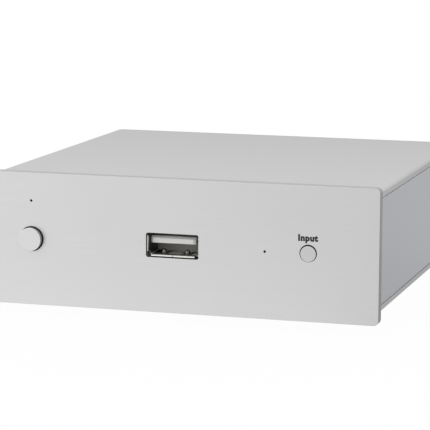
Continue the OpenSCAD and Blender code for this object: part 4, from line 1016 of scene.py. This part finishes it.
def aim(yaw, pitch, roll):
    """Turn of a camera that looks from that azimuth and elevation, rolled about its line of sight."""
    y, p, r = (math.radians(a) for a in (yaw, pitch, roll))
    right = Vector((math.cos(y), math.sin(y), 0))
    back = Vector((math.sin(y) * math.cos(p), -math.cos(y) * math.cos(p), math.sin(p)))
    up = back.cross(right)
    right, up = math.cos(r) * right + math.sin(r) * up, math.cos(r) * up - math.sin(r) * right
    return Matrix((right, up, back)).transposed().to_euler()


camera_data = bpy.data.cameras.new("photo_camera")
camera_data.lens = CAMERA_LENS
camera_data.sensor_width = CAMERA_SENSOR
camera_data.clip_start = CAMERA_CLIP
camera = bpy.data.objects.new("photo_camera", camera_data)
camera.location = CAMERA_PLACE
camera.rotation_euler = aim(CAMERA_YAW, CAMERA_PITCH, CAMERA_ROLL)
bpy.context.scene.collection.objects.link(camera)
bpy.context.scene.camera = camera


# White floor and backdrop, in metres

WHITE = (1, 1, 1, 1)
FLOOR_HALF = 20
FLOOR_GREY = (0.64, 0.64, 0.64, 1)
# The lift seen in reflections is painted light: white in front and to the left, falling off to the right and
# across
# Each ramp of the floor: where it starts and ends, and its share there
LIFT_WITH_DISTANCE = (0.07, 0.16, 0.98, 1.0)
FALL_TO_RIGHT = (0.035, 0.065, 1.0, 0.5)
FALL_ACROSS = (0.0, 0.21, 1.0, 0.46)
RISE_PAST_CASE = (-0.002, 0.004, 0.0, 1.0)
# Direction of the fall across, and half of the case's width and depth
ACROSS = (1, -0.9, 0)
CASE_HALF = (0.0515, 0.054, 0)
FILL_STRENGTH = 0.6
BACKDROP_STRENGTH = 1.0


def backdrop_rays(tree):
    """Two sockets: 1 for camera rays, and 1 for glossy and transmission rays."""
    path = add_node(tree, "ShaderNodeLightPath").outputs
    return path["Is Camera Ray"], maths(tree, "MAXIMUM", path["Is Glossy Ray"], path["Is Transmission Ray"])


def white_floor():
    """Matt white floor, lifted to the white of the backdrop: partly near the object, wholly further out.

    In reflections it stays white in front and to the left, and falls to its own lit level on the right
    and in the shade under the case: the lift seen in reflections is painted light that falls off to the
    right.
    """
    material, tree, out = new_material("white_floor")
    seen, mirrored = backdrop_rays(tree)
    place = add_node(tree, "ShaderNodeTexCoord").outputs["Object"]
    distance = add_node(tree, "ShaderNodeVectorMath", {0: place}, operation="LENGTH").outputs["Value"]
    direct = maths(tree, "MULTIPLY", seen, ramp(tree, distance, *LIFT_WITH_DISTANCE))
    right = ramp(tree, add_node(tree, "ShaderNodeSeparateXYZ", {0: place}).outputs["X"], *FALL_TO_RIGHT)
    across = add_node(tree, "ShaderNodeVectorMath", {0: place, 1: ACROSS}, operation="DOT_PRODUCT")
    front = ramp(tree, across.outputs["Value"], *FALL_ACROSS)
    case = add_node(tree, "ShaderNodeVectorMath", {0: place}, operation="ABSOLUTE").outputs[0]
    case = add_node(tree, "ShaderNodeVectorMath", {0: case, 1: CASE_HALF}, operation="SUBTRACT").outputs[0]
    past = add_node(tree, "ShaderNodeSeparateXYZ", {0: case}).outputs
    clear = ramp(tree, maths(tree, "MAXIMUM", past["X"], past["Y"]), *RISE_PAST_CASE)
    open_floor = maths(tree, "MULTIPLY", front, maths(tree, "MULTIPLY", right, clear))
    share = maths(tree, "MAXIMUM", maths(tree, "MULTIPLY", mirrored, open_floor), direct)
    plain = add_node(tree, "ShaderNodeBsdfDiffuse", {"Color": FLOOR_GREY})
    lift = add_node(tree, "ShaderNodeEmission", {"Color": WHITE, "Strength": BACKDROP_STRENGTH})
    both = add_node(tree, "ShaderNodeMixShader", {0: share, 1: plain.outputs[0], 2: lift.outputs[0]})
    tree.links.new(both.outputs[0], out.inputs["Surface"])
    return material


floor_mesh = bpy.data.meshes.new("floor")
floor_corners = [(x * FLOOR_HALF, y * FLOOR_HALF, 0) for x, y in ((-1, -1), (1, -1), (1, 1), (-1, 1))]
floor_mesh.from_pydata(floor_corners, [], [(0, 1, 2, 3)])
floor_mesh.materials.append(white_floor())
floor = bpy.data.objects.new("floor", floor_mesh)
bpy.context.scene.collection.objects.link(floor)

world = bpy.data.worlds.new("studio")
bpy.context.scene.world = world
world.use_nodes = True
sky = world.node_tree
sky.nodes.clear()
backdrop = maths(sky, "MAXIMUM", *backdrop_rays(sky))
fill = add_node(sky, "ShaderNodeBackground", {"Color": WHITE, "Strength": FILL_STRENGTH})
white = add_node(sky, "ShaderNodeBackground", {"Color": WHITE, "Strength": BACKDROP_STRENGTH})
mixed = add_node(sky, "ShaderNodeMixShader", {0: backdrop, 1: fill.outputs[0], 2: white.outputs[0]})
add_node(sky, "ShaderNodeOutputWorld", {"Surface": mixed.outputs[0]})


# Light

LAMP_TARGET = Vector((0, 0, 0.02))


def softbox(name, place, size, watts):
    """Square area lamp at a place, turned to the middle of the object."""
    lamp = bpy.data.lights.new(name, "AREA")
    lamp.size = size
    lamp.energy = watts
    holder = bpy.data.objects.new(name, lamp)
    holder.location = place
    holder.rotation_euler = (LAMP_TARGET - Vector(place)).to_track_quat("-Z", "Y").to_euler()
    bpy.context.scene.collection.objects.link(holder)


softbox("key_softbox", (-0.5, -0.75, 1.15), size=2.0, watts=5.0)
softbox("low_left_softbox", (-0.85, -0.95, 0.5), size=1.2, watts=3.0)

bpy.context.scene.view_settings.view_transform = "Standard"
